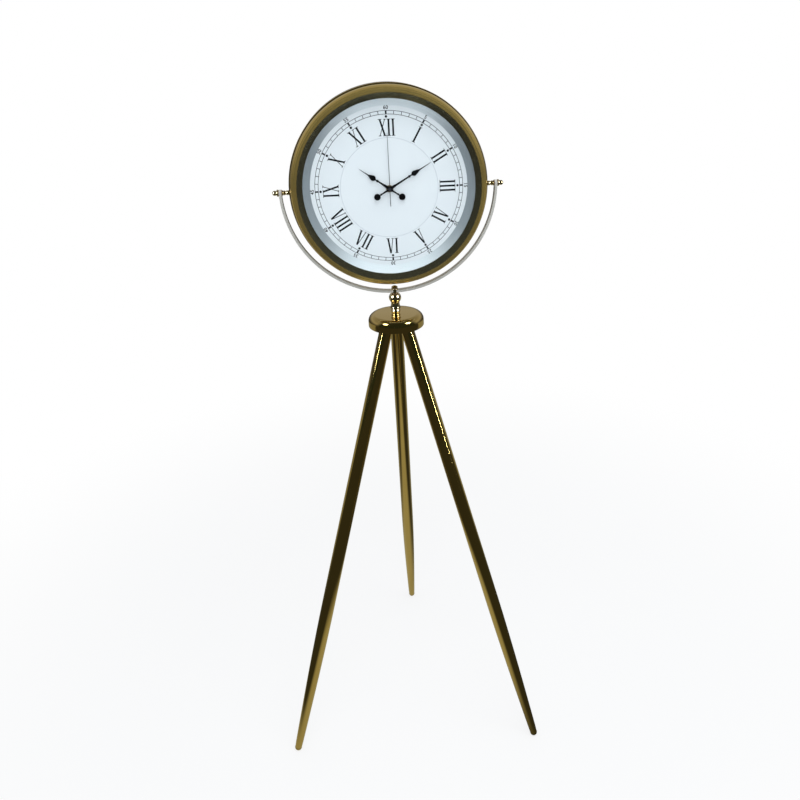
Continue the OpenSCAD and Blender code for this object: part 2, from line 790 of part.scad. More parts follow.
// Spring plate at each end of the battery, bent to the housing's wall
module battery_contacts() {
    leaf = 0.5;
    half = 4;
    wall_x = move_w / 2 - move_wall;
    color(steel) in_head() translate([0, battery_depth, battery_z]) for (side = [0, 1]) mirror([side, 0, 0]) {
        start = battery_len / 2 + (side == 0 ? battery_button : 0);
        translate([start, -half, -half]) cube([leaf, 2 * half, 2 * half]);
        translate([start, -half, -half]) cube([wall_x - start, 2 * half, leaf]);
        translate([wall_x - leaf, -half, -half]) cube([leaf, 2 * half, 2 * half]);
    }
}

// Bulb and bead of each hand: distance of the bulb and of the bead, length and width of the bulb, hub radius
hour_shape = [36, 26.4, 10, 10, 5];
minute_shape = [52.8, 42.4, 12, 9.6, 4.2];

// Angles of the hands, clockwise from twelve
hour_turn = 30 * (show_hour + show_minute / 60);
minute_turn = 6 * show_minute;
second_turn = 6 * show_second;

// A hand drawn on the dial's plane and turned clockwise to its time
module hand_frame(turn, depth) {
    in_head() translate([0, depth, 0]) rotate([0, turn, 0]) rotate([-90, 0, 0]) mirror([0, 1, 0]) children();
}

// Flat hand: pointed tip, bulb, bead, waisted shaft, hub, bead and round counterweight
module spade_hand(length, shape, bore) {
    bulb_at = shape[0];
    bead_at = shape[1];
    bulb_len = shape[2];
    half = shape[3] / 2;
    linear_extrude(hand_t) difference() {
        union() {
            polygon([[-0.45, length], [0.45, length], [1.1, bulb_at], [-1.1, bulb_at]]);
            polygon(concat(
                [[1, bulb_at + bulb_len], [half * 0.55, bulb_at + bulb_len * 0.55]],
                arc([0, bulb_at], half, 30, -50, 6),
                [[1, bulb_at - half * 1.3], [-1, bulb_at - half * 1.3]],
                arc([0, bulb_at], half, 230, 150, 6),
                [[-half * 0.55, bulb_at + bulb_len * 0.55], [-1, bulb_at + bulb_len]]));
            translate([0, bead_at]) circle(r = 2.3);
            polygon([[1, bulb_at - half], [1.2, bead_at], [2.6, 10], [1.7, 0], [0.9, -tail_len],
                [-0.9, -tail_len], [-1.7, 0], [-2.6, 10], [-1.2, bead_at], [-1, bulb_at - half]]);
            circle(r = shape[4]);
            translate([0, -tail_len + 8.4]) circle(r = 2);
            translate([0, -tail_len]) circle(r = tail_r);
        }
        circle(r = bore);
    }
}

module hour_hand() {
    color(black_metal) {
        hand_frame(hour_turn, hour_hand_at) spade_hand(hour_len, hour_shape, hour_tube_r);
        in_head() to_back(depth = hour_hand_at) ring(hour_tube_r + 1.2, hour_tube_r, 1.2);
    }
}

module minute_hand() {
    color(black_metal) {
        hand_frame(minute_turn, minute_hand_at) spade_hand(minute_len, minute_shape, cannon_r);
        in_head() to_back(depth = minute_hand_at) ring(cannon_r + 1.2, cannon_r, 1.4);
    }
}

module second_hand() {
    color([0.3, 0.28, 0.26]) {
        hand_frame(second_turn, second_hand_at) linear_extrude(second_t) union() {
            polygon([[-0.5, -second_tail], [0.5, -second_tail], [0.4, second_len], [-0.4, second_len]]);
            circle(r = second_hub_r);
        }
        in_head() to_back(depth = second_hand_at) ring(1.4, second_arbor_r, 1.8);
    }
}

module hour_wheel() {
    color(white_plastic) in_head() {
        to_back(depth = layer(0))
            gear(hour_teeth, motion_m, gap_phase(hour_teeth, [0, 0], minute_at), pinion_t,
                cannon_r + run_gap);
        to_back(depth = hour_hand_at) ring(hour_tube_r, cannon_r + run_gap, layer(0) + 0.5 - hour_hand_at);
    }
}

module cannon_pinion() {
    color(white_plastic) in_head() {
        to_back(depth = layer(1) + 0.2) gear(cannon_teeth, motion_m, aim([0, 0], minute_at), pinion_t,
            second_arbor_r + run_gap);
        to_back(depth = minute_hand_at)
            ring(cannon_r, second_arbor_r + run_gap, layer(2) + 1.4 - minute_hand_at);
    }
}

module centre_wheel() {
    color(white_plastic) in_head() to_back(depth = layer(2) + 0.4)
        gear(centre_teeth, centre_m, gap_phase(centre_teeth, [0, 0], third_at), wheel_t, cannon_r);
}

module minute_wheel() {
    color(white_plastic) in_head() {
        to_back(minute_at, layer(1) + 0.4)
            gear(minute_teeth, motion_m, gap_phase(minute_teeth, minute_at, [0, 0]), wheel_t, wheel_bore);
        to_back(minute_at, layer(0))
            gear(minute_pinion, motion_m, aim(minute_at, [0, 0]), layer(1) + 0.5 - layer(0), wheel_bore);
        to_back(minute_at, room_front - 0.8) cylinder(r = second_arbor_r, h = layer(1) - room_front + 1);
        to_back(minute_at, layer(1)) cylinder(r = knob_stem_r, h = move_back + 3 - layer(1));
    }
}

module setting_knob() {
    color(white_plastic) in_head() to_back(minute_at, move_back + 0.4) difference() {
        union() {
            cylinder(d = knob_d, h = knob_t);
            for (k = [0:knob_ribs - 1]) rotate([0, 0, 360 / knob_ribs * k]) translate([knob_d / 2, 0, 0])
                cylinder(r = 0.5, h = knob_t);
        }
        translate([0, 0, -1]) cylinder(r = knob_stem_r, h = 3.6);
    }
}

module third_wheel() {
    color(white_plastic) in_head() {
        to_back(third_at, layer(3) + 0.4)
            gear(third_teeth, third_m, gap_phase(third_teeth, third_at, [0, 0]), wheel_t, wheel_bore);
        to_back(third_at, layer(2) + 0.2)
            gear(third_pinion, centre_m, aim(third_at, [0, 0]), layer(3) + 0.5 - layer(2) - 0.2, wheel_bore);
        to_back(third_at, room_front - 0.8)
            cylinder(r = second_arbor_r, h = room_back + pivot_in - room_front + 0.8);
    }
}

module seconds_wheel() {
    color(white_plastic) in_head() {
        to_back(depth = layer(4) + 0.4)
            gear(seconds_teeth, inter_m, gap_phase(seconds_teeth, [0, 0], inter_at), wheel_t, wheel_bore);
        to_back(depth = layer(3) + 0.2)
            gear(seconds_pinion, third_m, aim([0, 0], third_at), layer(4) + 0.5 - layer(3) - 0.2, wheel_bore);
        to_back(depth = second_hand_at + second_t)
            cylinder(r = second_arbor_r, h = room_back + pivot_in - second_hand_at - second_t);
    }
}

module intermediate_wheel() {
    front = bridge_front + 0.2;
    color(white_plastic) in_head() {
        to_back(inter_at, layer(5) + 0.2)
            gear(inter_teeth, rotor_m, gap_phase(inter_teeth, inter_at, rotor_at), wheel_t, wheel_bore);
        to_back(inter_at, layer(4) + 0.2)
            gear(inter_pinion, inter_m, aim(inter_at, [0, 0]), layer(5) + 0.3 - layer(4) - 0.2, wheel_bore);
        to_back(inter_at, front) cylinder(r = second_arbor_r, h = room_back + pivot_in - front);
    }
}

module rotor() {
    front = bridge_front + 0.2;
    color(satin_grey) in_head() {
        to_back(rotor_at, stator_front) cylinder(r = 3, h = stator_t);
        to_back(rotor_at, layer(5))
            gear(rotor_teeth, rotor_m, aim(rotor_at, inter_at), pinion_t, wheel_bore);
        to_back(rotor_at, front) cylinder(r = second_arbor_r, h = room_back + pivot_in - front);
    }
}

leg_tube(0);  // leg_tube_left
leg_tube(1);  // leg_tube_right
leg_tube(2);  // leg_tube_rear
leg_tip(0);  // leg_tip_left
leg_tip(1);  // leg_tip_right
leg_tip(2);  // leg_tip_rear
leg_plugs();
leg_studs();
hub_plate();
hub_cap();
post();
hub_washer();
hub_nut();
swivel_nut();
yoke();
swivel_washers();
drum();
bezel();
glass();
glass_gasket();
dial_ring();
dial();
back_cover();
back_screws();
access_lid();
trunnion(-1);  // trunnion_left
trunnion(1);  // trunnion_right
finial(-1);  // finial_left
finial(1);  // finial_right
trunnion_nuts();
tilt_washers();
movement_housing();
movement_cover();
bush_nut();
bush_washer();
train_bridge();
stator();
coil();
coil_bobbin();
circuit_board();
crystal();
battery();
battery_contacts();
hour_hand();
hour_wheel();
minute_hand();
cannon_pinion();
centre_wheel();
second_hand();
seconds_wheel();
third_wheel();
minute_wheel();
setting_knob();
intermediate_wheel();
rotor();
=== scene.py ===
"""Looks of the tripod floor clock: brass tripod, turned post, half-ring yoke, round case and printed dial."""

import json
import logging
import math
from dataclasses import dataclass, field
from enum import Enum
from typing import Iterable, Sequence

import bmesh
import bpy
from mathutils import Matrix, Vector

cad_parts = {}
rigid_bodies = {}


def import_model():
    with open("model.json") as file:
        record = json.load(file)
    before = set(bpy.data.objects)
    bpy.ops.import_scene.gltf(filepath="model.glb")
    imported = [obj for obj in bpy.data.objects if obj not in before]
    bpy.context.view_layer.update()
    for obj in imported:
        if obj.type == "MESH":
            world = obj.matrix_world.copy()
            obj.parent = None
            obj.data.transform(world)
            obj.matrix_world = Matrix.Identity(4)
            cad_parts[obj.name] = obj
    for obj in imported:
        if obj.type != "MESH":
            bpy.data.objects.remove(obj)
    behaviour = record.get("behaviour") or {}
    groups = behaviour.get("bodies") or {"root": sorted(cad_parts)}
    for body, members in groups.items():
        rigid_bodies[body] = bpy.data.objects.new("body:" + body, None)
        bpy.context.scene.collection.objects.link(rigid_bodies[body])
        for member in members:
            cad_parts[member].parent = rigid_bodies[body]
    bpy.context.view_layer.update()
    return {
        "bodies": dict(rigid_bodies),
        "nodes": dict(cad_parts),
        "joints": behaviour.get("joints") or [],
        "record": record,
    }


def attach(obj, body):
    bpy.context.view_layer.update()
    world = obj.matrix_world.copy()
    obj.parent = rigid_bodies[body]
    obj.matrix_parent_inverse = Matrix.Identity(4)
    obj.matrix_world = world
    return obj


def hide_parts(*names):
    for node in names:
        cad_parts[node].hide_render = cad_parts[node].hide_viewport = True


LOG = logging.getLogger("clock")
MM = 0.001
SMOOTH = 32.0
Point = tuple[float, float]
Colour = tuple[float, float, float]
Place = tuple[float, float, float]


class Foot(Enum):
    """The three legs, with the direction that each one points before the tripod is turned, in degrees."""

    LEFT = ("left", -150.0)
    RIGHT = ("right", -30.0)
    REAR = ("rear", 90.0)


class Side(Enum):
    """The two ends of the tilt axis."""

    LEFT = ("left", -1)
    RIGHT = ("right", 1)


class Ray(Enum):
    """Kinds of ray that the studio treats in its own way."""

    CAMERA = "Is Camera Ray"
    GLOSSY = "Is Glossy Ray"
    SHADOW = "Is Shadow Ray"


@dataclass(frozen=True)
class Layout:
    """Sizes that several assemblies share, in millimetres and degrees, as the CAD model has them."""

    foot_reach: float = 320.0
    tripod_turn: float = -3.5
    leg_ring: float = 22.0
    hub_h: float = 986.0
    cap_h: float = 24.0
    post_h: float = 41.0
    pin_h: float = 1254.9
    case_r: float = 182.0
    yoke_in: float = 196.0
    yoke_out: float = 201.0
    boss_low: float = 1051.9
    boss_high: float = 1060.9

    def leg_turn(self, foot: Foot) -> float:
        """Direction of one leg seen from above, in degrees."""
        return foot.value[1] + self.tripod_turn

    @property
    def axis(self) -> Vector:
        """Place of the tripod's vertical axis on the floor, in millimetres.

        Returns:
            The place, with a height of 0.
        """
        xs = [self.foot_reach * math.cos(math.radians(self.leg_turn(f))) for f in Foot]
        ys = [self.foot_reach * math.sin(math.radians(self.leg_turn(f))) for f in Foot]
        return Vector((-(max(xs) + min(xs)) / 2, -(max(ys) + min(ys)) / 2, 0.0))

    @property
    def splay(self) -> float:
        """Slant of a leg, in radians."""
        return math.atan((self.foot_reach - self.leg_ring) / self.hub_h)

    def upright(self, height: float = 0.0) -> Matrix:
        """Frame whose Z is the tripod's axis, at a height."""
        return Matrix.Translation(self.axis + Vector((0, 0, height)))

    def leg(self, foot: Foot) -> Matrix:
        """Frame whose Z rises along one leg from the floor."""
        return (Matrix.Translation(self.axis) @ Matrix.Rotation(math.radians(self.leg_turn(foot)), 4, "Z")
                @ Matrix.Translation((self.foot_reach, 0, 0)) @ Matrix.Rotation(-self.splay, 4, "Y"))

    def face(self) -> Matrix:
        """Frame of the dial: X to the right, Y up, Z towards the viewer, with the origin on the tilt pins."""
        turn = Matrix(((1, 0, 0), (0, 0, -1), (0, 1, 0))).to_4x4()
        return Matrix.Translation(self.axis + Vector((0, 0, self.pin_h))) @ turn

    def pin(self, side: Side) -> Matrix:
        """Frame whose Z points outwards along one tilt pin."""
        return (Matrix.Translation(self.axis + Vector((0, 0, self.pin_h)))
                @ Matrix.Rotation(math.radians(90 * side.value[1]), 4, "Y"))

    @property
    def head_centre(self) -> Vector:
        """Centre of the dial's axis, in metres."""
        return (self.axis + Vector((0, 0, self.pin_h))) * MM


@dataclass
class Shape:
    """Points and faces of a mesh in the making, in millimetres."""

    points: list[Vector] = field(default_factory=list)
    faces: list[tuple[int, ...]] = field(default_factory=list)

    def add(self, other: "Shape") -> "Shape":
        """Adds another shape and returns this one.

        Args:
            other: The shape to add.

        Returns:
            This shape.
        """
        start = len(self.points)
        self.points += other.points
        self.faces += [tuple(i + start for i in f) for f in other.faces]
        return self

    def moved(self, frame: Matrix) -> "Shape":
        """A copy of the shape in another frame."""
        return Shape([frame @ p for p in self.points], list(self.faces))

    def mesh(self, name: str, sharp: float = SMOOTH) -> bpy.types.Mesh:
        """The shape as a finished mesh in metres, shaded smooth up to an angle.

        Args:
            name: Name of the mesh.
            sharp: Largest angle between faces that is still shaded smooth.

        Returns:
            The mesh.
        """
        made = bpy.data.meshes.new(name)
        made.from_pydata([p * MM for p in self.points], [], self.faces)
        return finish_mesh(made, sharp)


def arc(centre: Point, radius: float, start: float, end: float, steps: int = 8) -> list[Point]:
    """Points on an arc.

    Args:
        centre: Centre of the arc.
        radius: Its radius.
        start: First angle in degrees.
        end: Last angle in degrees.
        steps: Number of chords.

    Returns:
        The points from the first angle to the last.
    """
    angles = [math.radians(start + (end - start) * i / steps) for i in range(steps + 1)]
    return [(centre[0] + radius * math.cos(a), centre[1] + radius * math.sin(a)) for a in angles]


def block(left: float, right: float, low: float, high: float) -> list[Point]:
    """An upright oblong, anticlockwise."""
    return [(left, low), (right, low), (right, high), (left, high)]


def parts(count: int) -> list[float]:
    """Even fractions from 0 to 1, one more than the count."""
    return [k / count for k in range(count + 1)]


def turned(profile: Sequence[Point], segments: int = 128, closed: bool = False) -> Shape:
    """A shape turned on a lathe about Z.

    Args:
        profile: Pairs of radius and height. A radius of 0 closes the shape at a pole.
        segments: Number of steps round the axis.
        closed: Whether the last pair joins the first, as on a ring.

    Returns:
        The turned shape.
    """
    shape = Shape()
    rings: list[list[int]] = []
    for radius, height in profile:
        start = len(shape.points)
        if radius < 1e-6:
            shape.points.append(Vector((0, 0, height)))
            rings.append([start] * segments)
            continue
        for k in range(segments):
            a = 2 * math.pi * k / segments
            shape.points.append(Vector((radius * math.cos(a), radius * math.sin(a), height)))
        rings.append(list(range(start, start + segments)))
    pairs = list(zip(rings, rings[1:] + rings[:1]))
    for low, high in pairs if closed else pairs[:-1]:
        for k in range(segments):
            n = (k + 1) % segments
            corners = list(dict.fromkeys((low[k], low[n], high[n], high[k])))
            if len(corners) > 2:
                shape.faces.append(tuple(corners))
    return shape


def slab(outline: Sequence[Point], low: float, high: float) -> Shape:
    """A flat plate with a simple outline between two heights.

    Args:
        outline: Corners in order.
        low: Height of its back.
        high: Height of its front.

    Returns:
        The plate.
    """
    count = len(outline)
    points = [Vector((x, y, z)) for z in (low, high) for x, y in outline]
    faces = [tuple(range(count)), tuple(range(2 * count - 1, count - 1, -1))]
    faces += [(k, (k + 1) % count, (k + 1) % count + count, k + count) for k in range(count)]
    return Shape(points, faces)


def crowned(outline: Sequence[Point], low: float, high: float, edge: float) -> Shape:
    """A flat plate whose front edge is rounded, for a stamped hand.

    Args:
        outline: Corners anticlockwise.
        low: Height of the back.
        high: Height of the front.
        edge: How far the front face steps in from the outline.

    Returns:
        The plate, with its front face smaller than its back.
    """
    count = len(outline)
    inner = []
    for i, p in enumerate(outline):
        a, b, c = Vector(outline[i - 1]), Vector(p), Vector(outline[(i + 1) % count])
        way = (b - a).normalized() + (c - b).normalized()
        normal = Vector((-way.y, way.x))
        inner.append(b + normal.normalized() * edge if normal.length > 1e-6 else b)
    rows = [[Vector((p[0], p[1], low)) for p in outline], [Vector((p[0], p[1], high - edge)) for p in outline],
            [Vector((p.x, p.y, high)) for p in inner]]
    shape = Shape([v for row in rows for v in row])
    for j in (0, count):
        for k in range(count):
            n = (k + 1) % count
            shape.faces.append((j + k, j + n, j + n + count, j + k + count))
    shape.faces += [tuple(range(count - 1, -1, -1)), tuple(range(2 * count, 3 * count))]
    return shape


def finish_mesh(mesh: bpy.types.Mesh, sharp: float = SMOOTH) -> bpy.types.Mesh:
    """Closes doubles, turns faces outwards, shades a mesh smooth up to an angle, and returns it.

    Args:
        mesh: The mesh, in metres.
        sharp: Largest angle between faces that is still shaded smooth.

    Returns:
        The same mesh.
    """
    work = bmesh.new()
    work.from_mesh(mesh)
    bmesh.ops.remove_doubles(work, verts=work.verts, dist=1e-8)
    bmesh.ops.recalc_face_normals(work, faces=work.faces)
    work.to_mesh(mesh)
    work.free()
    mesh.shade_smooth()
    mesh.set_sharp_from_angle(angle=math.radians(sharp))
    return mesh


def joined(name: str, meshes: Iterable[bpy.types.Mesh]) -> bpy.types.Mesh:
    """Puts several meshes together as one, and removes them.

    Args:
        name: Name of the new mesh.
        meshes: The meshes, in order.

    Returns:
        The new mesh.
    """
    work = bmesh.new()
    for mesh in meshes:
        work.from_mesh(mesh)
        bpy.data.meshes.remove(mesh)
    made = bpy.data.meshes.new(name)
    work.to_mesh(made)
    work.free()
    return made


def evaluated(thing: bpy.types.Object, frame: Matrix) -> bpy.types.Mesh:
    """The final mesh of an object, moved to a frame and turned from millimetres to metres; the object goes.

    Args:
        thing: An object whose mesh is in millimetres.
        frame: The frame that the mesh is placed in.

    Returns:
        The mesh, in metres.
    """
    graph = bpy.context.evaluated_depsgraph_get()
    mesh = bpy.data.meshes.new_from_object(thing.evaluated_get(graph))
    bpy.data.objects.remove(thing)
    mesh.transform(frame)
    mesh.transform(Matrix.Scale(MM, 4))
    return mesh


@dataclass
class Workshop:
    """Makes finished pieces and hands them to the frame."""

    frame: dict
    made: int = 0

    def piece(self, name: str, shape: Shape, material: bpy.types.Material, body: str, slot: str,
              stands_for: Iterable[str] = (), sharp: float = SMOOTH) -> bpy.types.Object:
        """Makes one piece of the visual model.

        Args:
            name: Name of the piece.
            shape: Its shape in the shared frame, in millimetres.
            material: Its finish.
            body: The CAD body that it rides on.
            slot: The record's material slot.
            stands_for: CAD nodes that it replaces.
            sharp: Largest angle between faces that is still shaded smooth.

        Returns:
            The new object.
        """
        return self.keep(name, shape.mesh(name, sharp), material, body, slot, stands_for)

    def keep(self, name: str, mesh: bpy.types.Mesh, material: bpy.types.Material, body: str, slot: str,
             stands_for: Iterable[str] = ()) -> bpy.types.Object:
        """Makes a mesh that is already in the shared frame a piece, and returns its object.

        Args:
            name: Name of the piece.
            mesh: Its mesh, in metres.
            material: Its finish.
            body: The CAD body that it rides on.
            slot: The record's material slot; not used.
            stands_for: CAD nodes that it replaces.

        Returns:
            The new object.
        """
        mesh.materials.clear()
        mesh.materials.append(material)
        thing = bpy.data.objects.new(name, mesh)
        bpy.context.scene.collection.objects.link(thing)
        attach(thing, body)
        nodes = tuple(stands_for)
        if nodes:
            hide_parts(*nodes)
        self.made += 1
        LOG.info("piece %s on %s, %d faces", name, body, len(mesh.polygons))
        return thing

    def dress(self, names: Iterable[str], material: bpy.types.Material) -> None:
        """Gives CAD nodes that keep their shape a finish.

        Args:
            names: Names of the nodes.
            material: The finish.
        """
        for name in names:
            node = self.frame["nodes"][name]
            if not node.material_slots:
                node.data.materials.append(material)
            for place in node.material_slots:
                place.material = material
            LOG.info("node %s dressed in %s", name, material.name)


class NodeTree:
    """Short ways to build a node tree."""

    def __init__(self, tree: bpy.types.NodeTree) -> None:
        """Starts from an existing tree and empties it."""
        self.tree = tree
        tree.nodes.clear()

    def node(self, kind: str, settings: dict | None = None, **inputs: object) -> bpy.types.Node:
        """Adds a node.

        Args:
            kind: Blender's name of the node's type.
            settings: Properties of the node.
            **inputs: Values or sockets for inputs, whose names have underscores for spaces.

        Returns:
            The new node.
        """
        made = self.tree.nodes.new(kind)
        for key, value in (settings or {}).items():
            setattr(made, key, value)
        for key, value in inputs.items():
            self.feed(made.inputs[key.replace("_", " ")], value)
        return made

    def feed(self, socket: bpy.types.NodeSocket, value: object) -> None:
        """Links a socket to an input, or sets the input's value.

        Args:
            socket: The input.
            value: A socket or a value.
        """
        if isinstance(value, bpy.types.NodeSocket):
            self.tree.links.new(value, socket)
        else:
            socket.default_value = value

    def math(self, operation: str, *values: object) -> bpy.types.NodeSocket:
        """One arithmetic step on numbers.

        Args:
            operation: Blender's name of the step.
            *values: Numbers or sockets, in order.

        Returns:
            The result.
        """
        made = self.node("ShaderNodeMath", {"operation": operation})
        for socket, value in zip(made.inputs, values):
            self.feed(socket, value)
        return made.outputs[0]

    def sum_of(self, values: Sequence[object], shares: Point) -> bpy.types.NodeSocket:
        """Two numbers added in the given shares."""
        return self.math("ADD", *(self.math("MULTIPLY", value, share) for value, share in zip(values, shares)))

    def vectors(self, operation: str, *values: object) -> bpy.types.NodeSocket:
        """One arithmetic step on vectors, whose result is a number only for a length.

        Args:
            operation: Blender's name of the step.
            *values: Vectors or sockets, in order.

        Returns:
            The result.
        """
        made = self.node("ShaderNodeVectorMath", {"operation": operation})
        for socket, value in zip(made.inputs, values):
            self.feed(socket, value)
        return made.outputs["Value" if operation == "LENGTH" else "Vector"]

    def part(self, vector: object, axis: str) -> bpy.types.NodeSocket:
        """One coordinate of a vector."""
        return self.node("ShaderNodeSeparateXYZ", Vector=vector).outputs[axis]

    def mapped(self, value: object, low: float, high: float) -> bpy.types.NodeSocket:
        """A number from 0 to 1 spread between two limits."""
        return self.node("ShaderNodeMapRange", Value=value, To_Min=low, To_Max=high).outputs["Result"]

    def rise(self, value: object, start: float, end: float) -> bpy.types.NodeSocket:
        """0 below one value and 1 above another, eased between them."""
        return self.node("ShaderNodeMapRange", {"interpolation_type": "SMOOTHSTEP"}, Value=value, From_Min=start,
                         From_Max=end).outputs["Result"]

    def noise(self, where: object, scale: float, detail: float = 3.0) -> bpy.types.NodeSocket:
        """Smooth noise from 0 to 1."""
        return self.node("ShaderNodeTexNoise", Vector=where, Scale=scale, Detail=detail).outputs["Fac"]

    def blend(self, factor: object, first: object, second: object) -> bpy.types.NodeSocket:
        """A colour between two, each given as a colour or as a socket.

        Args:
            factor: The second colour's share.
            first: First colour.
            second: Second colour.

        Returns:
            The blended colour.
        """
        made = self.node("ShaderNodeMix", {"data_type": "RGBA"})
        self.feed(made.inputs[0], factor)
        for socket, colour in ((made.inputs[6], first), (made.inputs[7], second)):
            self.feed(socket, (*colour, 1.0) if isinstance(colour, tuple) else colour)
        return made.outputs[2]

    def bump(self, height: object, strength: float, distance: float = 0.0001) -> bpy.types.NodeSocket:
        """A normal that follows a height, with the distance in metres."""
        return self.node("ShaderNodeBump", Strength=strength, Distance=distance, Height=height).outputs["Normal"]

    def principled(self, **inputs: object) -> bpy.types.NodeSocket:
        """The Principled shader with some of its inputs set."""
        return self.node("ShaderNodeBsdfPrincipled", **inputs).outputs["BSDF"]

    def glow(self, colour: Colour, strength: object) -> bpy.types.NodeSocket:
        """An emission shader."""
        return self.node("ShaderNodeEmission", Color=(*colour, 1.0), Strength=strength).outputs["Emission"]

    def mix(self, share: object, first: object, second: object) -> bpy.types.NodeSocket:
        """Two shaders mixed by the second one's share.

        Args:
            share: The second shader's share.
            first: First shader.
            second: Second shader.

        Returns:
            The mixed shader.
        """
        made = self.node("ShaderNodeMixShader")
        for socket, value in zip(made.inputs, (share, first, second)):
            self.feed(socket, value)
        return made.outputs["Shader"]


@dataclass(frozen=True)
class Finish:
    """A surface finish that becomes a Blender material."""

    name: str

    def material(self) -> bpy.types.Material:
        """The finish as a material, made once and named apart from the frame's own materials.

        Returns:
            The material.
        """
        name = f"{self.name}_finish"
        found = bpy.data.materials.get(name)
        if found:
            return found
        made = bpy.data.materials.new(name)
        made.use_nodes = True
        nodes = NodeTree(made.node_tree)
        out = nodes.node("ShaderNodeOutputMaterial")
        nodes.tree.links.new(self.surface(nodes), out.inputs["Surface"])
        return made

    def surface(self, nodes: NodeTree) -> bpy.types.NodeSocket:
        """The shader's output."""
        raise NotImplementedError

    @staticmethod
    def place(nodes: NodeTree) -> bpy.types.NodeSocket:
        """The point on the object, in metres."""
        return nodes.node("ShaderNodeTexCoord").outputs["Object"]


@dataclass(frozen=True)
class Metal(Finish):
    """Plated or lacquered metal with faint clouding and wiping marks."""

    light: Colour = (0.66, 0.48, 0.16)
    dark: Colour = (0.58, 0.41, 0.12)
    rough: Point = (0.10, 0.22)
    coat: float = 0.25
    cloud: float = 38.0
    grain: float = 900.0
    bump: float = 0.02
    metal: float = 1.0
    shares: Point = (0.65, 0.35)
    lacquer: float = 0.08

    def surface(self, nodes: NodeTree) -> bpy.types.NodeSocket:
        """Metal whose tone and roughness drift, with a fine rubbed grain under the lacquer.

        Args:
            nodes: The material's node tree.

        Returns:
            The shader's output.
        """
        where = self.place(nodes)
        drift = nodes.noise(where, self.cloud, 4.0)
        wipe = nodes.noise(where, self.grain, 2.0)
        both = nodes.sum_of((drift, wipe), self.shares)
        return nodes.principled(
            Base_Color=nodes.blend(drift, self.dark, self.light), Metallic=self.metal,
            Roughness=nodes.mapped(both, *self.rough), Coat_Weight=self.coat, Coat_Roughness=self.lacquer,
            Normal=nodes.bump(wipe, self.bump, 0.0002))


@dataclass(frozen=True)
class TurnedMetal(Metal):
    """Metal turned on a lathe, with fine rings about an axis along Y."""

    centre: Place = (0.0, 0.0, 0.0)
    pitch: float = 0.0016
    depth: float = 0.25
    fineness: float = 900.0
    mottle: Point = (0.7, 0.3)

    def shaded(self, nodes: NodeTree, colour: bpy.types.NodeSocket, inner: bpy.types.NodeSocket,
               radius: bpy.types.NodeSocket) -> bpy.types.NodeSocket:
        """Colour at a place given from the axis; a plain turned part is the same all over."""
        return colour

    def surface(self, nodes: NodeTree) -> bpy.types.NodeSocket:
        """Metal with concentric rings that catch the light.

        Args:
            nodes: The material's node tree.

        Returns:
            The shader's output.
        """
        where = self.place(nodes)
        inner = nodes.vectors("SUBTRACT", where, self.centre)
        radius = nodes.vectors("LENGTH", nodes.vectors("MULTIPLY", inner, (1.0, 0.0, 1.0)))
        wave = nodes.math("SINE", nodes.math("MULTIPLY", radius, 2 * math.pi / self.pitch))
        lines = nodes.node("ShaderNodeCombineXYZ", X=radius).outputs["Vector"]
        streak = nodes.noise(lines, self.fineness, 3.0)
        drift = nodes.noise(where, self.cloud, 3.0)
        height = nodes.math("ADD", nodes.math("MULTIPLY", wave, 0.5), streak)
        tone = nodes.sum_of((streak, drift), self.mottle)
        colour = self.shaded(nodes, nodes.blend(tone, self.dark, self.light), inner, radius)
        return nodes.principled(Base_Color=colour, Metallic=self.metal, Roughness=nodes.mapped(tone, *self.rough),
                                Normal=nodes.bump(height, self.depth))


@dataclass(frozen=True)
class BezelBrass(TurnedMetal):
    """Turned brass whose sloping band inside the rim is painted dark, as a painted reflection of the dark
    surroundings.
    """

    # Painted reflection: dark colour for the band inside the rim, standing in for the dark surroundings that it
    # mirrors.
    tarnish: Colour = (0.14, 0.13, 0.08)
    rim: Point = (0.1662, 0.1670)

    def shaded(self, nodes: NodeTree, colour: bpy.types.NodeSocket, inner: bpy.types.NodeSocket,
               radius: bpy.types.NodeSocket) -> bpy.types.NodeSocket:
        """Painted dark reflection inside the rim and brass outside it."""
        return nodes.blend(nodes.rise(radius, *self.rim), self.tarnish, colour)


@dataclass(frozen=True)
class SatinRing(TurnedMetal):
    """Brushed ring painted light above and below and grey at its sides: painted shade standing in for the
    surroundings it reflects, set by position.
    """

    # Painted shade: the grey given to the ring's left and right sides.
    side: Colour = (0.30, 0.34, 0.37)
    turn: Point = (0.30, 0.97)

    def shaded(self, nodes: NodeTree, colour: bpy.types.NodeSocket, inner: bpy.types.NodeSocket,
               radius: bpy.types.NodeSocket) -> bpy.types.NodeSocket:
        """Painted shade: colour by how far round from the top or bottom a place is, grey towards the sides."""
        across = nodes.math("ABSOLUTE", nodes.part(inner, "X"))
        return nodes.blend(nodes.rise(nodes.math("DIVIDE", across, radius), *self.turn), colour, self.side)


@dataclass(frozen=True)
class Coating(Finish):
    """Paint, plastic, rubber or print: a body colour with a slight mottle and texture."""

    light: Colour = (0.8, 0.8, 0.8)
    dark: Colour = (0.7, 0.7, 0.7)
    rough: Point = (0.4, 0.5)
    coat: float = 0.0
    gleam: float = 0.5
    scale: float = 250.0
    bump: float = 0.05

    def surface(self, nodes: NodeTree) -> bpy.types.NodeSocket:
        """An even coating whose tone and gloss drift a little.

        Args:
            nodes: The material's node tree.

        Returns:
            The shader's output.
        """
        where = self.place(nodes)
        fine = nodes.noise(where, self.scale * 6, 2.0)
        wide = nodes.noise(where, self.scale * 0.2, 3.0)
        return nodes.principled(
            Base_Color=nodes.blend(wide, self.dark, self.light), Roughness=nodes.mapped(fine, *self.rough),
            Coat_Weight=self.coat, Coat_Roughness=0.2, Specular_IOR_Level=self.gleam,
            Normal=nodes.bump(fine, self.bump))


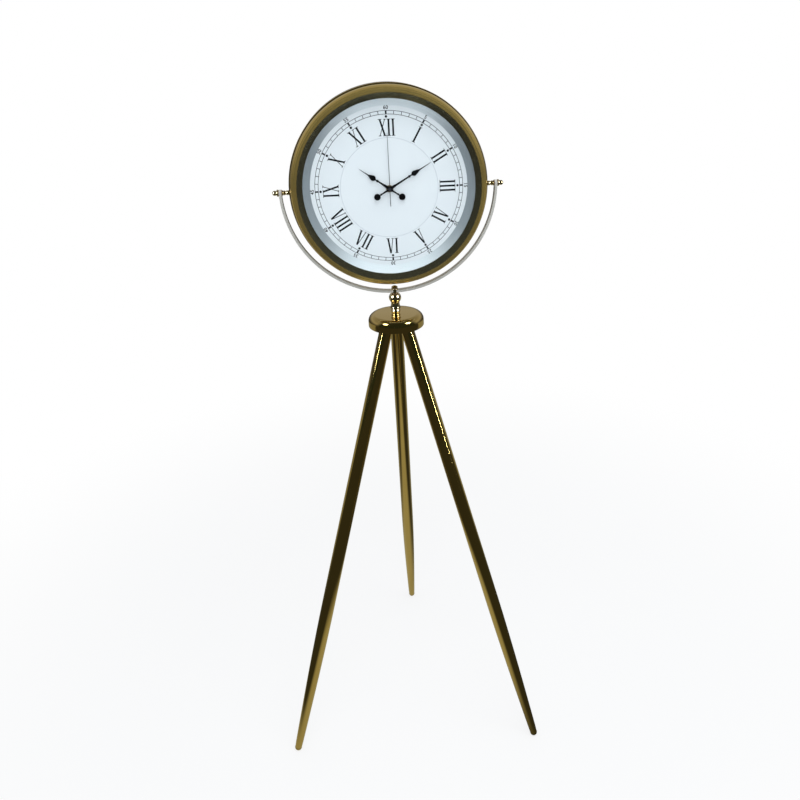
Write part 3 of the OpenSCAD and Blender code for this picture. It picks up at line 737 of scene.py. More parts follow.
@dataclass(frozen=True)
class Windings(Finish):
    """Enamelled copper wire wound round Z, with painted shade in the grooves between turns."""

    pitch: float = 0.00035
    # Painted shade: the dark colour in the grooves between turns of wire.
    groove: Colour = (0.22, 0.06, 0.02)
    crest: Colour = (0.72, 0.30, 0.12)

    def surface(self, nodes: NodeTree) -> bpy.types.NodeSocket:
        """Copper with a ridge for each turn of wire, painted dark as shade in the grooves between them.

        Args:
            nodes: The material's node tree.

        Returns:
            The shader's output.
        """
        height = nodes.part(self.place(nodes), "Z")
        ridge = nodes.math("ABSOLUTE", nodes.math("SINE", nodes.math("MULTIPLY", height, math.pi / self.pitch)))
        return nodes.principled(Base_Color=nodes.blend(ridge, self.groove, self.crest), Metallic=0.8,
                                Roughness=nodes.mapped(ridge, 0.45, 0.25), Normal=nodes.bump(ridge, 0.8))


@dataclass(frozen=True)
class ClearGlass(Finish):
    """Flat clock glass: clear, with a reflection that grows towards the edge of view."""

    edge: float = 0.5
    tint: Colour = (0.985, 0.992, 0.99)
    gloss_tint: Colour = (0.95, 0.98, 0.97)
    smudges: float = 24.0

    def surface(self, nodes: NodeTree) -> bpy.types.NodeSocket:
        """Clear for most of the light, with a faint smudged gloss.

        Args:
            nodes: The material's node tree.

        Returns:
            The shader's output.
        """
        smudge = nodes.noise(self.place(nodes), self.smudges, 4.0)
        gloss = nodes.principled(Base_Color=(*self.gloss_tint, 1.0), Transmission_Weight=1.0, IOR=1.45,
                                 Roughness=nodes.mapped(smudge, 0.0, 0.03))
        clear = nodes.node("ShaderNodeBsdfTransparent", Color=(*self.tint, 1.0)).outputs["BSDF"]
        slant = nodes.node("ShaderNodeLayerWeight", Blend=0.5).outputs["Facing"]
        lights = nodes.node("ShaderNodeLightPath")
        seen = nodes.math("SUBTRACT", 1.0, lights.outputs[Ray.SHADOW.value])
        share = nodes.math("MULTIPLY", seen, nodes.math("MULTIPLY", nodes.math("POWER", slant, 4.0), self.edge))
        return nodes.mix(share, clear, gloss)


@dataclass(frozen=True)
class StudioFloor(Finish):
    """Pale studio floor that keeps a soft shadow near the clock and looks dark in polished metal."""

    shadow: Point = (0.55, 1.9)
    share: float = 0.78
    paint: float = 0.9
    tint: Colour = (1.0, 0.94, 0.60)
    patch: Point = (-0.10, -0.10)
    patch_size: Point = (0.36, 0.62)
    patch_edge: Point = (1.2, 0.5)
    patch_light: float = 0.42
    back_start: Point = (0.1, 0.7)
    back_end: Point = (3.6, 2.4)
    back_light: float = 0.26
    front_light: float = 0.045

    def mirrored(self, nodes: NodeTree) -> bpy.types.NodeSocket:
        """Strength in reflections: a patch under the clock, a band behind it, and little in front.

        Args:
            nodes: The material's node tree.

        Returns:
            The strength.
        """
        where = self.place(nodes)
        under = nodes.vectors("SUBTRACT", where, (*self.patch, 0.0))
        spread = nodes.vectors("DIVIDE", under, (*self.patch_size, 1.0))
        near = nodes.rise(nodes.vectors("LENGTH", spread), *self.patch_edge)
        depth = nodes.part(where, "Y")
        behind = nodes.math("MULTIPLY", nodes.rise(depth, *self.back_start), nodes.rise(depth, *self.back_end))
        both = nodes.sum_of((near, behind), (self.patch_light, self.back_light))
        return nodes.math("ADD", both, self.front_light)

    def surface(self, nodes: NodeTree) -> bpy.types.NodeSocket:
        """Matt white that the camera sees as the background's white away from the clock.

        Args:
            nodes: The material's node tree.

        Returns:
            The shader's output.
        """
        matt = nodes.node("ShaderNodeBsdfDiffuse", Color=(self.paint, self.paint, self.paint, 1.0)).outputs["BSDF"]
        lights = nodes.node("ShaderNodeLightPath")
        reach = nodes.vectors("LENGTH", self.place(nodes))
        away = nodes.math("MULTIPLY_ADD", nodes.rise(reach, *self.shadow), 1.0 - self.share, self.share)
        seen = nodes.mix(nodes.math("MULTIPLY", lights.outputs[Ray.CAMERA.value], away), matt,
                         nodes.glow((1.0, 1.0, 1.0), 1.0))
        return nodes.mix(lights.outputs[Ray.GLOSSY.value], seen, nodes.glow(self.tint, self.mirrored(nodes)))


class GeometryTree:
    """A Geometry Nodes tree with named inputs, run once to make a plain mesh."""

    def __init__(self, name: str, inputs: dict[str, str]) -> None:
        """Makes an empty tree.

        Args:
            name: Name of the tree.
            inputs: Input names with their socket types.
        """
        tree = bpy.data.node_groups.new(name, "GeometryNodeTree")
        for label, kind in inputs.items():
            tree.interface.new_socket(name=label, in_out="INPUT", socket_type=kind)
        tree.interface.new_socket(name="Geometry", in_out="OUTPUT", socket_type="NodeSocketGeometry")
        self.nodes = NodeTree(tree)
        self.start = self.nodes.node("NodeGroupInput")
        self.end = self.nodes.node("NodeGroupOutput")

    def close(self, geometry: bpy.types.NodeSocket) -> None:
        """Ends the tree in Realize Instances and Set Material.

        Args:
            geometry: What the tree has made.
        """
        real = self.nodes.node("GeometryNodeRealizeInstances", Geometry=geometry)
        done = self.nodes.node("GeometryNodeSetMaterial", Geometry=real.outputs["Geometry"],
                               Material=self.start.outputs["Finish"])
        self.nodes.feed(self.end.inputs[0], done.outputs["Geometry"])

    def run(self, values: dict[str, object], frame: Matrix) -> bpy.types.Mesh:
        """Runs the tree.

        Args:
            values: A value for each named input.
            frame: Frame that the result is placed in, in millimetres.

        Returns:
            The result as a plain mesh in the shared frame, in metres.
        """
        holder = bpy.data.objects.new("holder", bpy.data.meshes.new("holder"))
        bpy.context.scene.collection.objects.link(holder)
        modifier = holder.modifiers.new("rule", "NODES")
        modifier.node_group = self.nodes.tree
        for item in self.nodes.tree.interface.items_tree:
            if item.in_out == "INPUT":
                modifier[item.identifier] = values[item.name]
        holder.update_tag()
        return finish_mesh(evaluated(holder, frame))


class RingRule(GeometryTree):
    """Sets copies of a part round a circle, each one turned to point outwards."""

    def __init__(self) -> None:
        """Builds the tree."""
        super().__init__("set_round_a_circle", {
            "Count": "NodeSocketInt", "Radius": "NodeSocketFloat", "Start": "NodeSocketFloat",
            "Part": "NodeSocketObject", "Finish": "NodeSocketMaterial"})
        n, given = self.nodes, self.start.outputs
        index = n.node("GeometryNodeInputIndex").outputs["Index"]
        step = n.math("DIVIDE", 2 * math.pi, given["Count"])
        angle = n.math("ADD", n.math("MULTIPLY", index, step), given["Start"])
        place = n.node("ShaderNodeCombineXYZ", X=n.math("MULTIPLY", n.math("SINE", angle), given["Radius"]),
                       Y=n.math("MULTIPLY", n.math("COSINE", angle), given["Radius"]))
        points = n.node("GeometryNodePoints", Count=given["Count"], Position=place.outputs["Vector"])
        part = n.node("GeometryNodeObjectInfo", Object=given["Part"])
        turn = n.node("ShaderNodeCombineXYZ", Z=n.math("MULTIPLY", angle, -1.0))
        copies = n.node("GeometryNodeInstanceOnPoints", Points=points.outputs[0],
                        Instance=part.outputs["Geometry"], Rotation=turn.outputs["Vector"])
        self.close(copies.outputs["Instances"])

    def ring(self, shape: Shape, count: int, radius: float, finish: bpy.types.Material, frame: Matrix,
             start: float = 0.0) -> bpy.types.Mesh:
        """Sets copies of a shape round a circle.

        Args:
            shape: The part, in millimetres, with Y pointing outwards.
            count: Number of copies.
            radius: Radius of the circle.
            finish: Its material.
            frame: Frame of the circle.
            start: Angle of the first copy from the top, clockwise, in radians.

        Returns:
            All copies as one mesh.
        """
        mesh = bpy.data.meshes.new("part")
        mesh.from_pydata(shape.points, [], shape.faces)
        part = bpy.data.objects.new("part", mesh)
        bpy.context.scene.collection.objects.link(part)
        made = self.run({"Count": count, "Radius": radius, "Start": start, "Part": part, "Finish": finish}, frame)
        bpy.data.objects.remove(part)
        return made


class StrapRule(GeometryTree):
    """Sweeps a strap with rounded edges along an arc."""

    def __init__(self) -> None:
        """Builds the tree."""
        super().__init__("sweep_a_strap", {
            "Radius": "NodeSocketFloat", "From": "NodeSocketFloat", "Sweep": "NodeSocketFloat",
            "Thickness": "NodeSocketFloat", "Width": "NodeSocketFloat", "Edge": "NodeSocketFloat",
            "Steps": "NodeSocketInt", "Finish": "NodeSocketMaterial"})
        n, given = self.nodes, self.start.outputs
        path = n.node("GeometryNodeCurveArc", Resolution=given["Steps"], Radius=given["Radius"],
                      Start_Angle=given["From"], Sweep_Angle=given["Sweep"])
        section = n.node("GeometryNodeCurvePrimitiveQuadrilateral", Width=given["Thickness"],
                         Height=given["Width"])
        eased = n.node("GeometryNodeFilletCurve", {"mode": "POLY"}, Curve=section.outputs["Curve"],
                       Radius=given["Edge"], Count=4)
        strap = n.node("GeometryNodeCurveToMesh", Curve=path.outputs["Curve"],
                       Profile_Curve=eased.outputs["Curve"], Fill_Caps=True)
        self.close(strap.outputs["Mesh"])


@dataclass(frozen=True)
class Finishes:
    """Every finish of the clock."""

    case_brass: Metal = Metal("case_brass", light=(0.62, 0.45, 0.16), dark=(0.54, 0.38, 0.12), rough=(0.07, 0.13),
                              cloud=14.0)
    leg_brass: Metal = Metal("leg_brass", light=(0.62, 0.47, 0.17), dark=(0.52, 0.38, 0.12), rough=(0.06, 0.10),
                             coat=0.5, cloud=12.0)
    cap_brass: Metal = Metal("cap_brass", light=(0.66, 0.50, 0.19), dark=(0.58, 0.42, 0.14), rough=(0.05, 0.10),
                             cloud=14.0)
    # Painted highlight tone: a paler copy of the same brass, so that highlights on the post, boss and pins show
    # cream.
    post_brass: Metal = Metal("post_brass", light=(0.86, 0.77, 0.54), dark=(0.76, 0.66, 0.42), rough=(0.05, 0.10),
                              cloud=14.0)
    back_brass: Metal = Metal("back_brass", light=(0.42, 0.33, 0.16), dark=(0.30, 0.22, 0.10), rough=(0.28, 0.42),
                              coat=0.0, metal=0.7)
    strap: Metal = Metal("strap_metal", light=(0.94, 0.92, 0.86), dark=(0.86, 0.84, 0.77), rough=(0.22, 0.32),
                         cloud=16.0, metal=0.45)
    steel: Metal = Metal("plain_steel", light=(0.62, 0.61, 0.59), dark=(0.46, 0.45, 0.43), rough=(0.25, 0.42),
                         coat=0.0)
    dial: Coating = Coating("dial_white", light=(0.87, 0.91, 0.94), dark=(0.84, 0.88, 0.92), rough=(0.38, 0.5),
                            scale=120.0, bump=0.03)
    ink: Coating = Coating("black_ink", light=(0.010, 0.011, 0.014), dark=(0.004, 0.005, 0.007), rough=(0.5, 0.7),
                           gleam=0.15)
    grey_ink: Coating = Coating("grey_ink", light=(0.024, 0.027, 0.036), dark=(0.012, 0.014, 0.020),
                                rough=(0.5, 0.7), gleam=0.15)
    faint_ink: Coating = Coating("faint_ink", light=(0.52, 0.56, 0.62), dark=(0.46, 0.50, 0.56), rough=(0.4, 0.6))
    hands: Coating = Coating("hand_black", light=(0.006, 0.006, 0.007), dark=(0.003, 0.003, 0.004),
                             rough=(0.3, 0.42), gleam=0.2)
    thin_hand: Coating = Coating("hand_grey", light=(0.05, 0.05, 0.06), dark=(0.03, 0.03, 0.035),
                                 rough=(0.3, 0.42), gleam=0.3)
    glass: ClearGlass = ClearGlass("clock_glass")
    rubber: Coating = Coating("black_rubber", light=(0.03, 0.03, 0.03), dark=(0.015, 0.015, 0.015),
                              rough=(0.6, 0.8))
    black: Coating = Coating("black_moulding", light=(0.035, 0.035, 0.04), dark=(0.02, 0.02, 0.024),
                             rough=(0.35, 0.5), bump=0.15)
    white: Coating = Coating("white_moulding", light=(0.80, 0.80, 0.75), dark=(0.72, 0.72, 0.66),
                             rough=(0.3, 0.42))
    fibre: Coating = Coating("pressed_fibre", light=(0.30, 0.20, 0.13), dark=(0.20, 0.12, 0.07), rough=(0.6, 0.8),
                             bump=0.3)
    board: Coating = Coating("green_board", light=(0.05, 0.22, 0.10), dark=(0.03, 0.15, 0.07), rough=(0.2, 0.3),
                             coat=0.3)
    cell: Coating = Coating("cell_sleeve", light=(0.07, 0.09, 0.12), dark=(0.04, 0.05, 0.08), rough=(0.2, 0.3),
                            coat=0.5)
    wire: Windings = Windings("copper_wire")


@dataclass
class Assembly:
    """A group of pieces that are made together."""

    layout: Layout
    finishes: Finishes
    shop: Workshop
    rings: RingRule

    def build(self) -> None:
        """Makes the pieces of the group."""
        raise NotImplementedError


@dataclass
class Tripod(Assembly):
    """Three tapered tubes with rounded tips, and the hub under its cap."""

    top_r: float = 13.0
    max_r: float = 14.25
    tip_r: float = 8.0
    taper: float = 380.0
    tip_flat: float = 0.4
    hub_up: float = 2.0
    seat: float = 3.2
    seam: float = 0.25
    wall: float = 1.2
    cap_r: float = 55.0
    shoulder: float = 14.0
    post_hole: float = 4.3

    @property
    def tip_start(self) -> float:
        """Distance up the leg from the floor to the middle of its round tip."""
        return (self.tip_r - self.tip_flat) / math.cos(self.layout.splay)

    @property
    def leg_end(self) -> float:
        """Distance up the leg from the floor to the end of its tube in the hub."""
        rise = self.top_r * math.sin(self.layout.splay) + self.seat
        return (self.layout.hub_h + self.hub_up + rise) / math.cos(self.layout.splay)

    def leg_profile(self) -> list[Point]:
        """Outline of the tube: a long swell that tapers to the tip, closed at both ends.

        Returns:
            Pairs of radius and height.
        """
        low, knee, end = self.tip_start, self.tip_start + self.taper, self.leg_end
        swell = [(self.tip_r + (self.max_r - self.tip_r) * math.sin(math.pi / 2 * s), low + self.taper * s)
                 for s in parts(24)]
        upper = [(self.max_r + (self.top_r - self.max_r) * s, knee + (end - knee) * s) for s in parts(10)[1:]]
        seam = [(0.0, low + self.seam), (self.tip_r - 0.9, low + self.seam), (self.tip_r - 0.35, low + 0.35)]
        return seam + swell[1:] + upper + [(self.top_r - self.wall, end), (0.0, end)]

    def tip_profile(self) -> list[Point]:
        """Outline of the rounded tip, with the flat that it stands on left to the slanted cut.

        Returns:
            Pairs of radius and height.
        """
        low, r = self.tip_start, self.tip_r
        ball = arc((0.0, low), r, -90, 0, 16)
        edge = [(r, low - 0.2), (r - 0.35, low + self.seam), (0.0, low + self.seam)]
        return [(0.0, ball[0][1])] + ball[1:-1] + edge

    def cap_profile(self) -> list[Point]:
        """Outline of the cap: thin wall, round shoulder, flat top and a rolled lower edge.

        Returns:
            Pairs of radius and height.
        """
        r, h, c, w = self.cap_r, self.layout.cap_h, self.shoulder, self.wall
        outer = [(r - 0.5, 0.0), (r - 0.15, 0.15), (r, 0.5)] + arc((r - c, h - c), c, 0, 90, 14)
        inner = arc((r - c, h - c), c - w, 90, 0, 14) + [(r - w, 0.4), (r - w + 0.2, 0.0)]
        return outer + [(self.post_hole, h), (self.post_hole, h - w)] + inner

    def build(self) -> None:
        """Makes the legs, their tips and the cap, and dresses what is inside."""
        shop, f = self.shop, self.finishes
        brass = f.leg_brass.material()
        for foot in Foot:
            frame, name = self.layout.leg(foot), foot.value[0]
            tube = turned(self.leg_profile(), 64).moved(frame)
            shop.piece(f"leg_{name}", tube, brass, "tripod", "polished_brass", (f"leg_tube_{name}",))
            tip = turned(self.tip_profile(), 64).moved(frame)
            for p in tip.points:
                p.z = max(p.z, 0.0)
            shop.piece(f"tip_{name}", tip, brass, "tripod", "polished_brass", (f"leg_tip_{name}",))
        cap = turned(self.cap_profile(), 160, closed=True).moved(self.layout.upright(self.layout.hub_h))
        shop.piece("cap", cap, f.cap_brass.material(), "tripod", "polished_brass", ("hub_cap",))
        shop.dress(("hub_plate",), f.back_brass.material())
        shop.dress(("leg_plugs", "leg_studs", "hub_washer", "hub_nut"), f.steel.material())


@dataclass
class PostAndYoke(Assembly):
    """Turned post, its swivel, and the half ring that carries the head."""

    base_r: float = 9.5
    base_h: float = 10.5
    neck_r: float = 8.25
    ball_r: float = 12.0
    strap_w: float = 12.0
    strap_t: float = 5.0
    strap_edge: float = 0.7
    strap_steps: int = 181
    boss_r: float = 6.8
    nut_r: float = 6.0
    pin_r: float = 3.0
    bore: float = 3.06
    washer: float = 0.9
    thread_r: float = 4.0
    thread: float = 31.0
    spigot_up: float = 3.5
    ball_share: float = 0.72

    def post_profile(self) -> list[Point]:
        """Outline of the post: thread, base ring, bell neck, ball, collar and spigot.

        Returns:
            Pairs of radius and height.
        """
        h, half = self.layout.post_h, self.base_h / 2
        ball_z = h - self.ball_r * self.ball_share
        neck_z = ball_z - self.ball_r * self.ball_share
        span = neck_z - self.base_h
        base = [(self.thread_r, 0.0), (self.base_r - 1.7, 0.0), (self.base_r - 1.3, 0.4)]
        base += arc((self.base_r - half, half), half, -40, 40, 12)
        flare = self.base_r + 0.6
        neck = [(self.base_r - 1.5, self.base_h - 0.5), (self.base_r - 1.5, self.base_h - 0.1),
                (flare - 0.4, self.base_h + 0.3), (flare, self.base_h + 0.8), (flare - 0.1, self.base_h + 1.6)]
        neck += [(self.neck_r + (flare - 0.2 - self.neck_r) * (1 - s) ** 1.8, self.base_h + 1.8 + (span - 2.8) * s)
                 for s in parts(8)[1:]]
        ball = arc((0.0, ball_z), self.ball_r, -math.degrees(math.acos(self.neck_r / self.ball_r)) + 2, 44, 22)
        end = self.layout.boss_high + self.spigot_up - self.layout.hub_h - self.layout.cap_h
        top = [(self.pin_r, h), (self.pin_r, end), (0.0, end)]
        low, r = -self.thread, self.thread_r
        thread = [(0.0, low), (r - 0.6, low), (r, low + 0.6)]
        return thread + base + neck + ball + top

    def nut_profile(self) -> list[Point]:
        """Outline of the low domed nut.

        Returns:
            Pairs of radius and height.
        """
        z, r = self.layout.boss_high + self.washer, self.nut_r
        dome = arc((0.0, z - 2.4), 1.25 * r, 49, 90, 12)
        return [(self.pin_r, z), (r - 0.5, z), (r, z + 0.5), (r, z + 2.6), (r - 0.4, z + 3.1)] + dome

    def boss_shape(self) -> Shape:
        """Round boss that the strap passes through, with eased ends.

        Returns:
            The boss in the shared frame.
        """
        low, high, r = self.layout.boss_low, self.layout.boss_high, self.boss_r
        ring = [(self.bore, low), (r - 0.9, low), (r - 0.2, low + 0.5), (r, low + 1.2), (r, high - 1.2),
                (r - 0.2, high - 0.5), (r - 0.9, high), (self.bore, high)]
        return turned(ring, 64, closed=True).moved(self.layout.upright())

    def eye_shape(self) -> Shape:
        """Round ends of the yoke, bored for the pins.

        Returns:
            Both ends in the shared frame.
        """
        shape = Shape()
        r, a, b = self.strap_w / 2, self.layout.yoke_in, self.layout.yoke_out
        eye = [(self.bore, a), (r - 0.6, a), (r, a + 0.6), (r, b - 0.6), (r - 0.6, b), (self.bore, b)]
        for side in Side:
            shape.add(turned(eye, 64, closed=True).moved(self.layout.pin(side)))
        return shape

    def build(self) -> None:
        """Makes the post, the nut and the yoke."""
        shop, f = self.shop, self.finishes
        brass = f.post_brass.material()
        up = self.layout.upright(self.layout.hub_h + self.layout.cap_h)
        post = turned(self.post_profile(), 96).moved(up)
        shop.piece("turned_post", post, brass, "tripod", "polished_brass", ("post",))
        nut = turned(self.nut_profile(), 64).moved(self.layout.upright())
        shop.piece("swivel_dome", nut, brass, "tripod", "polished_brass", ("swivel_nut",))
        strap = f.strap.material()
        ring = StrapRule().run({"Radius": (self.layout.yoke_in + self.layout.yoke_out) / 2, "From": math.pi,
                                "Sweep": math.pi, "Thickness": self.strap_t, "Width": self.strap_w,
                                "Edge": self.strap_edge, "Steps": self.strap_steps, "Finish": strap},
                               self.layout.face())
        mesh = joined("half_ring", (ring, self.eye_shape().mesh("eyes")))
        shop.keep("half_ring", mesh, strap, "yoke", "yoke_brass", ("yoke",))
        shop.piece("yoke_boss", self.boss_shape(), brass, "yoke", "polished_brass")
        shop.dress(("swivel_washers",), f.fibre.material())


@dataclass
class TiltPins(Assembly):
    """Beaded spacers between case and yoke, and the turned ends outside."""

    spacer_r: float = 4.5
    finial_r: float = 6.5
    finial_len: float = 11.0
    pin_r: float = 3.0
    stud: float = 9.0
    washer: float = 0.9

    def spacer_profile(self) -> list[Point]:
        """Outline of the stud and its spacer, from inside the case outwards.

        Returns:
            Pairs of radius and distance from the middle of the dial.
        """
        a, b, r, pin = self.layout.case_r, self.layout.yoke_in - self.washer, self.spacer_r, self.pin_r
        waist = [(r - 0.5 - 0.7 * math.cos(math.pi * (2 * s - 1)), a + 3.4 + (b - a - 6.8) * s) for s in parts(10)]
        bead = ((0.4, 0.0), (0.0, 0.4), (0.0, 1.8), (0.4, 2.2), (1.2, 2.6), (1.2, 3.0))
        foot = [(r - inset, a + along) for inset, along in bead]
        head = [(r - inset, b - along) for inset, along in reversed(bead)]
        end = self.layout.yoke_out + self.washer + self.finial_len / 2
        stud = [(0.0, a - self.stud), (pin, a - self.stud), (pin, a)]
        return stud + foot + waist + head + [(pin, b), (pin, end), (0.0, end)]

    def finial_profile(self) -> list[Point]:
        """Outline of the finial: collar, groove, button and blunt point.

        Returns:
            Pairs of radius and distance from the middle of the dial.
        """
        z, r, length = self.layout.yoke_out + self.washer, self.finial_r, self.finial_len
        collar = [(self.pin_r, z), (r - 0.7, z), (r - 0.15, z + 0.5), (r, z + 1.2), (r - 0.3, z + 2.1),
                  (r - 1.2, z + 2.7)]
        groove = [(r - 2.6, z + 3.1), (r - 2.8, z + 3.6), (r - 2.3, z + 4.3)]
        button = arc((0.0, z + length - 4.6), 4.6, 5, 90, 12)
        return collar + groove + button

    def build(self) -> None:
        """Makes both pins and dresses the nuts and washers."""
        shop, f = self.shop, self.finishes
        brass = f.post_brass.material()
        for side in Side:
            name, frame = side.value[0], self.layout.pin(side)
            for piece, profile, node in (("spacer", self.spacer_profile(), "trunnion"),
                                         ("pin_end", self.finial_profile(), "finial")):
                shop.piece(f"{piece}_{name}", turned(profile, 64).moved(frame), brass, "head", "polished_brass",
                           (f"{node}_{name}",))
        shop.dress(("trunnion_nuts",), f.steel.material())
        shop.dress(("tilt_washers",), f.fibre.material())


@dataclass
class ClockCase(Assembly):
    """Drum, bezel, glass, and the back with its lid. Depths are positive towards the back."""

    wall: float = 1.2
    rim_front: float = 34.0
    back: float = 28.0
    rim_r: float = 167.5
    bead: float = 1.8
    open_r: float = 156.5
    open_depth: float = 24.5
    bezel_r: float = 179.5
    shoulder: float = 10.2
    flange: float = 7.0
    ring_in: float = 144.0
    glass_t: float = 2.0
    glass_lap: float = 5.0
    groove: Point = (148.0, 150.0)
    screw_in: float = 4.6
    lid_r: float = 55.0
    lid_groove: Point = (44.2, 46.0)
    knob_r: float = 5.0

    def head(self, profile: Sequence[Point], segments: int = 256, closed: bool = True) -> Shape:
        """A ring turned about the dial's axis from pairs of radius and depth."""
        return turned([(r, -d) for r, d in profile], segments, closed).moved(self.layout.face())

    def drum_profile(self) -> list[Point]:
        """Outline of the drum: band with a rolled back edge, stepped shoulder, neck, flange and back lip.

        Returns:
            Pairs of radius and depth.
        """
        r, s, w, neck = self.layout.case_r, -self.shoulder, self.wall, self.bezel_r - self.wall - 0.15
        outer = [(r - 0.6, self.back), (r - 0.1, self.back - 0.5), (r, self.back - 1.2), (r, s + 2.6),
                 (r - 0.25, s + 1.5), (r - 0.9, s + 0.6), (r - 2.0, s + 0.05), (neck, s), (neck, s - 6)]
        inner = [(neck - w, s - 6), (neck - w, s + w), (r - w, s + w + 1), (r - w, -self.flange),
                 (self.ring_in - 6, -self.flange), (self.ring_in - 6, -self.flange + w), (r - w, -self.flange + w),
                 (r - w, self.back - w), (r - 8, self.back - w), (r - 8, self.back)]
        return outer + inner

    def bezel_profile(self) -> list[Point]:
        """Outline of the bezel: sloping band, rounded rim, swelling outer band with a groove, and glass seat.

        Returns:
            Pairs of radius and depth.
        """
        front, skirt = -self.rim_front, -self.shoulder - 0.6
        span = self.rim_front - 2 + skirt
        cone = [(self.open_r, -self.open_depth), (self.open_r + 0.1, -self.open_depth - 0.5)]
        rim = arc((self.rim_r, front + self.bead), self.bead, 216, 320, 16)
        band = []
        for u in parts(18)[1:]:
            r = self.rim_r + 1.4 + (self.bezel_r - self.rim_r - 1.4) * math.sin(math.pi / 2 * u)
            d = front + 1.4 + (span - 3) * (1 - math.cos(math.pi / 2 * u))
            dip = 0.55 * math.exp(-((u - 0.30) / 0.055) ** 2)
            band.append((r - dip, d + 0.3 * dip))
        steps = ((0.0, 2.6), (0.5, 2.2), (0.5, 1.7), (0.0, 1.3), (0.0, 0.4), (0.3, 0.0), (self.wall, 0.0))
        foot = [(self.bezel_r - inset, skirt - along) for inset, along in steps]
        inner, start = [], self.rim_r + 0.9
        for u in reversed(parts(8)):
            r = start + (self.bezel_r - self.wall - start) * math.sin(math.pi / 2 * u)
            inner.append((r, front + 2.9 + (span - 4) * (1 - math.cos(math.pi / 2 * u))))
        seat = [(self.rim_r - 0.4, front + 2.7), (self.open_r + self.wall + 0.4, -self.open_depth - 0.3),
                (self.open_r + 6, -self.open_depth), (self.open_r + 6, -self.open_depth + self.wall),
                (self.open_r, -self.open_depth + self.wall)]
        return cone + rim + band + foot + inner + seat

    def build(self) -> None:
        """Makes the case and its back."""
        shop, f = self.shop, self.finishes
        brass = f.case_brass.material()
        shop.piece("case_drum", self.head(self.drum_profile()), brass, "head", "polished_brass", ("drum",))
        # The bezel's sloping band inside the rim is painted dark as a painted reflection.
        lathe = BezelBrass("bezel_brass", light=(0.78, 0.58, 0.20), dark=(0.44, 0.31, 0.08), rough=(0.12, 0.2),
                           centre=tuple(self.layout.head_centre), depth=0.2, metal=0.8).material()
        bezel = self.head(self.bezel_profile(), 320)
        shop.piece("front_bezel", bezel, lathe, "head", "polished_brass", ("bezel",))
        front = -self.open_depth + self.wall
        back, r = front + self.glass_t, self.open_r + self.glass_lap
        pane = [(0.0, front), (r - 0.3, front), (r, front + 0.3), (r, back - 0.3), (r - 0.3, back), (0.0, back)]
        glass = self.head(pane, 192, closed=False)
        shop.piece("front_glass", glass, f.glass.material(), "head", "glass", ("glass",))
        self.build_back()
        shop.dress(("glass_gasket",), f.rubber.material())

    def build_back(self) -> None:
        """Makes the back cover, its screws and the lid."""
        shop, f = self.shop, self.finishes
        dark = f.back_brass.material()
        r, b, w = self.layout.case_r - 0.6, self.back, self.wall
        low, high = self.groove
        cover = [(self.lid_r, b), (r - 0.3, b), (r, b + 0.3), (r, b + w - 0.4), (r - 0.4, b + w), (high, b + w),
                 (high - 0.4, b + w - 0.35), (low + 0.4, b + w - 0.35), (low, b + w),
                 (self.lid_r + 0.2, b + w), (self.lid_r, b + w - 0.2)]
        shop.piece("back_plate", self.head(cover, 256), dark, "head", "dark_brass", ("back_cover",))
        head = turned([(0.0, -5.2), (1.25, -5.2), (1.25, 0.0), (2.6, 0.0), (2.6, 0.3), (2.3, 0.9), (1.5, 1.3),
                       (0.0, 1.4)], 24).add(slab(block(-2.0, 2.0, -0.25, 0.25), 1.3, 1.45))
        turn = self.layout.face() @ Matrix.Rotation(math.pi, 4, "Y") @ Matrix.Translation((0, 0, b + w))
        steel = f.steel.material()
        screws = self.rings.ring(head, 6, self.layout.case_r - self.screw_in, steel, turn, math.pi / 6)
        shop.keep("cover_screws", screws, steel, "head", "steel", ("back_screws",))
        r, plate, top, knob = self.lid_r - 0.1, self.lid_r + 3, b + 2 * w, self.knob_r
        low, high = self.lid_groove
        lid = [(0.0, b + w), (r - w, b + w), (r - w, b - 4), (r - 0.2, b - 4), (r, b - 3.8), (r, b + w),
               (plate - 0.3, b + w), (plate, b + w + 0.3), (plate - 0.1, top - 0.2), (plate - 0.5, top)]
        lid += [(high, top), (high - 0.4, top - 0.3), (low + 0.4, top - 0.3), (low, top)]
        lid += [(knob, top), (knob - 1.4, top + 1.0), (knob - 1.6, top + 2.0), (knob - 0.3, b + w + 4.6),
                (knob, b + w + 5.6), (knob - 0.3, b + w + 6.5), (knob - 1.4, b + w + 7.0), (0.0, b + w + 7.0)]
        shape = self.head(lid, 192, closed=False)
        shop.piece("back_lid", shape, dark, "access_lid", "dark_brass", ("access_lid",))


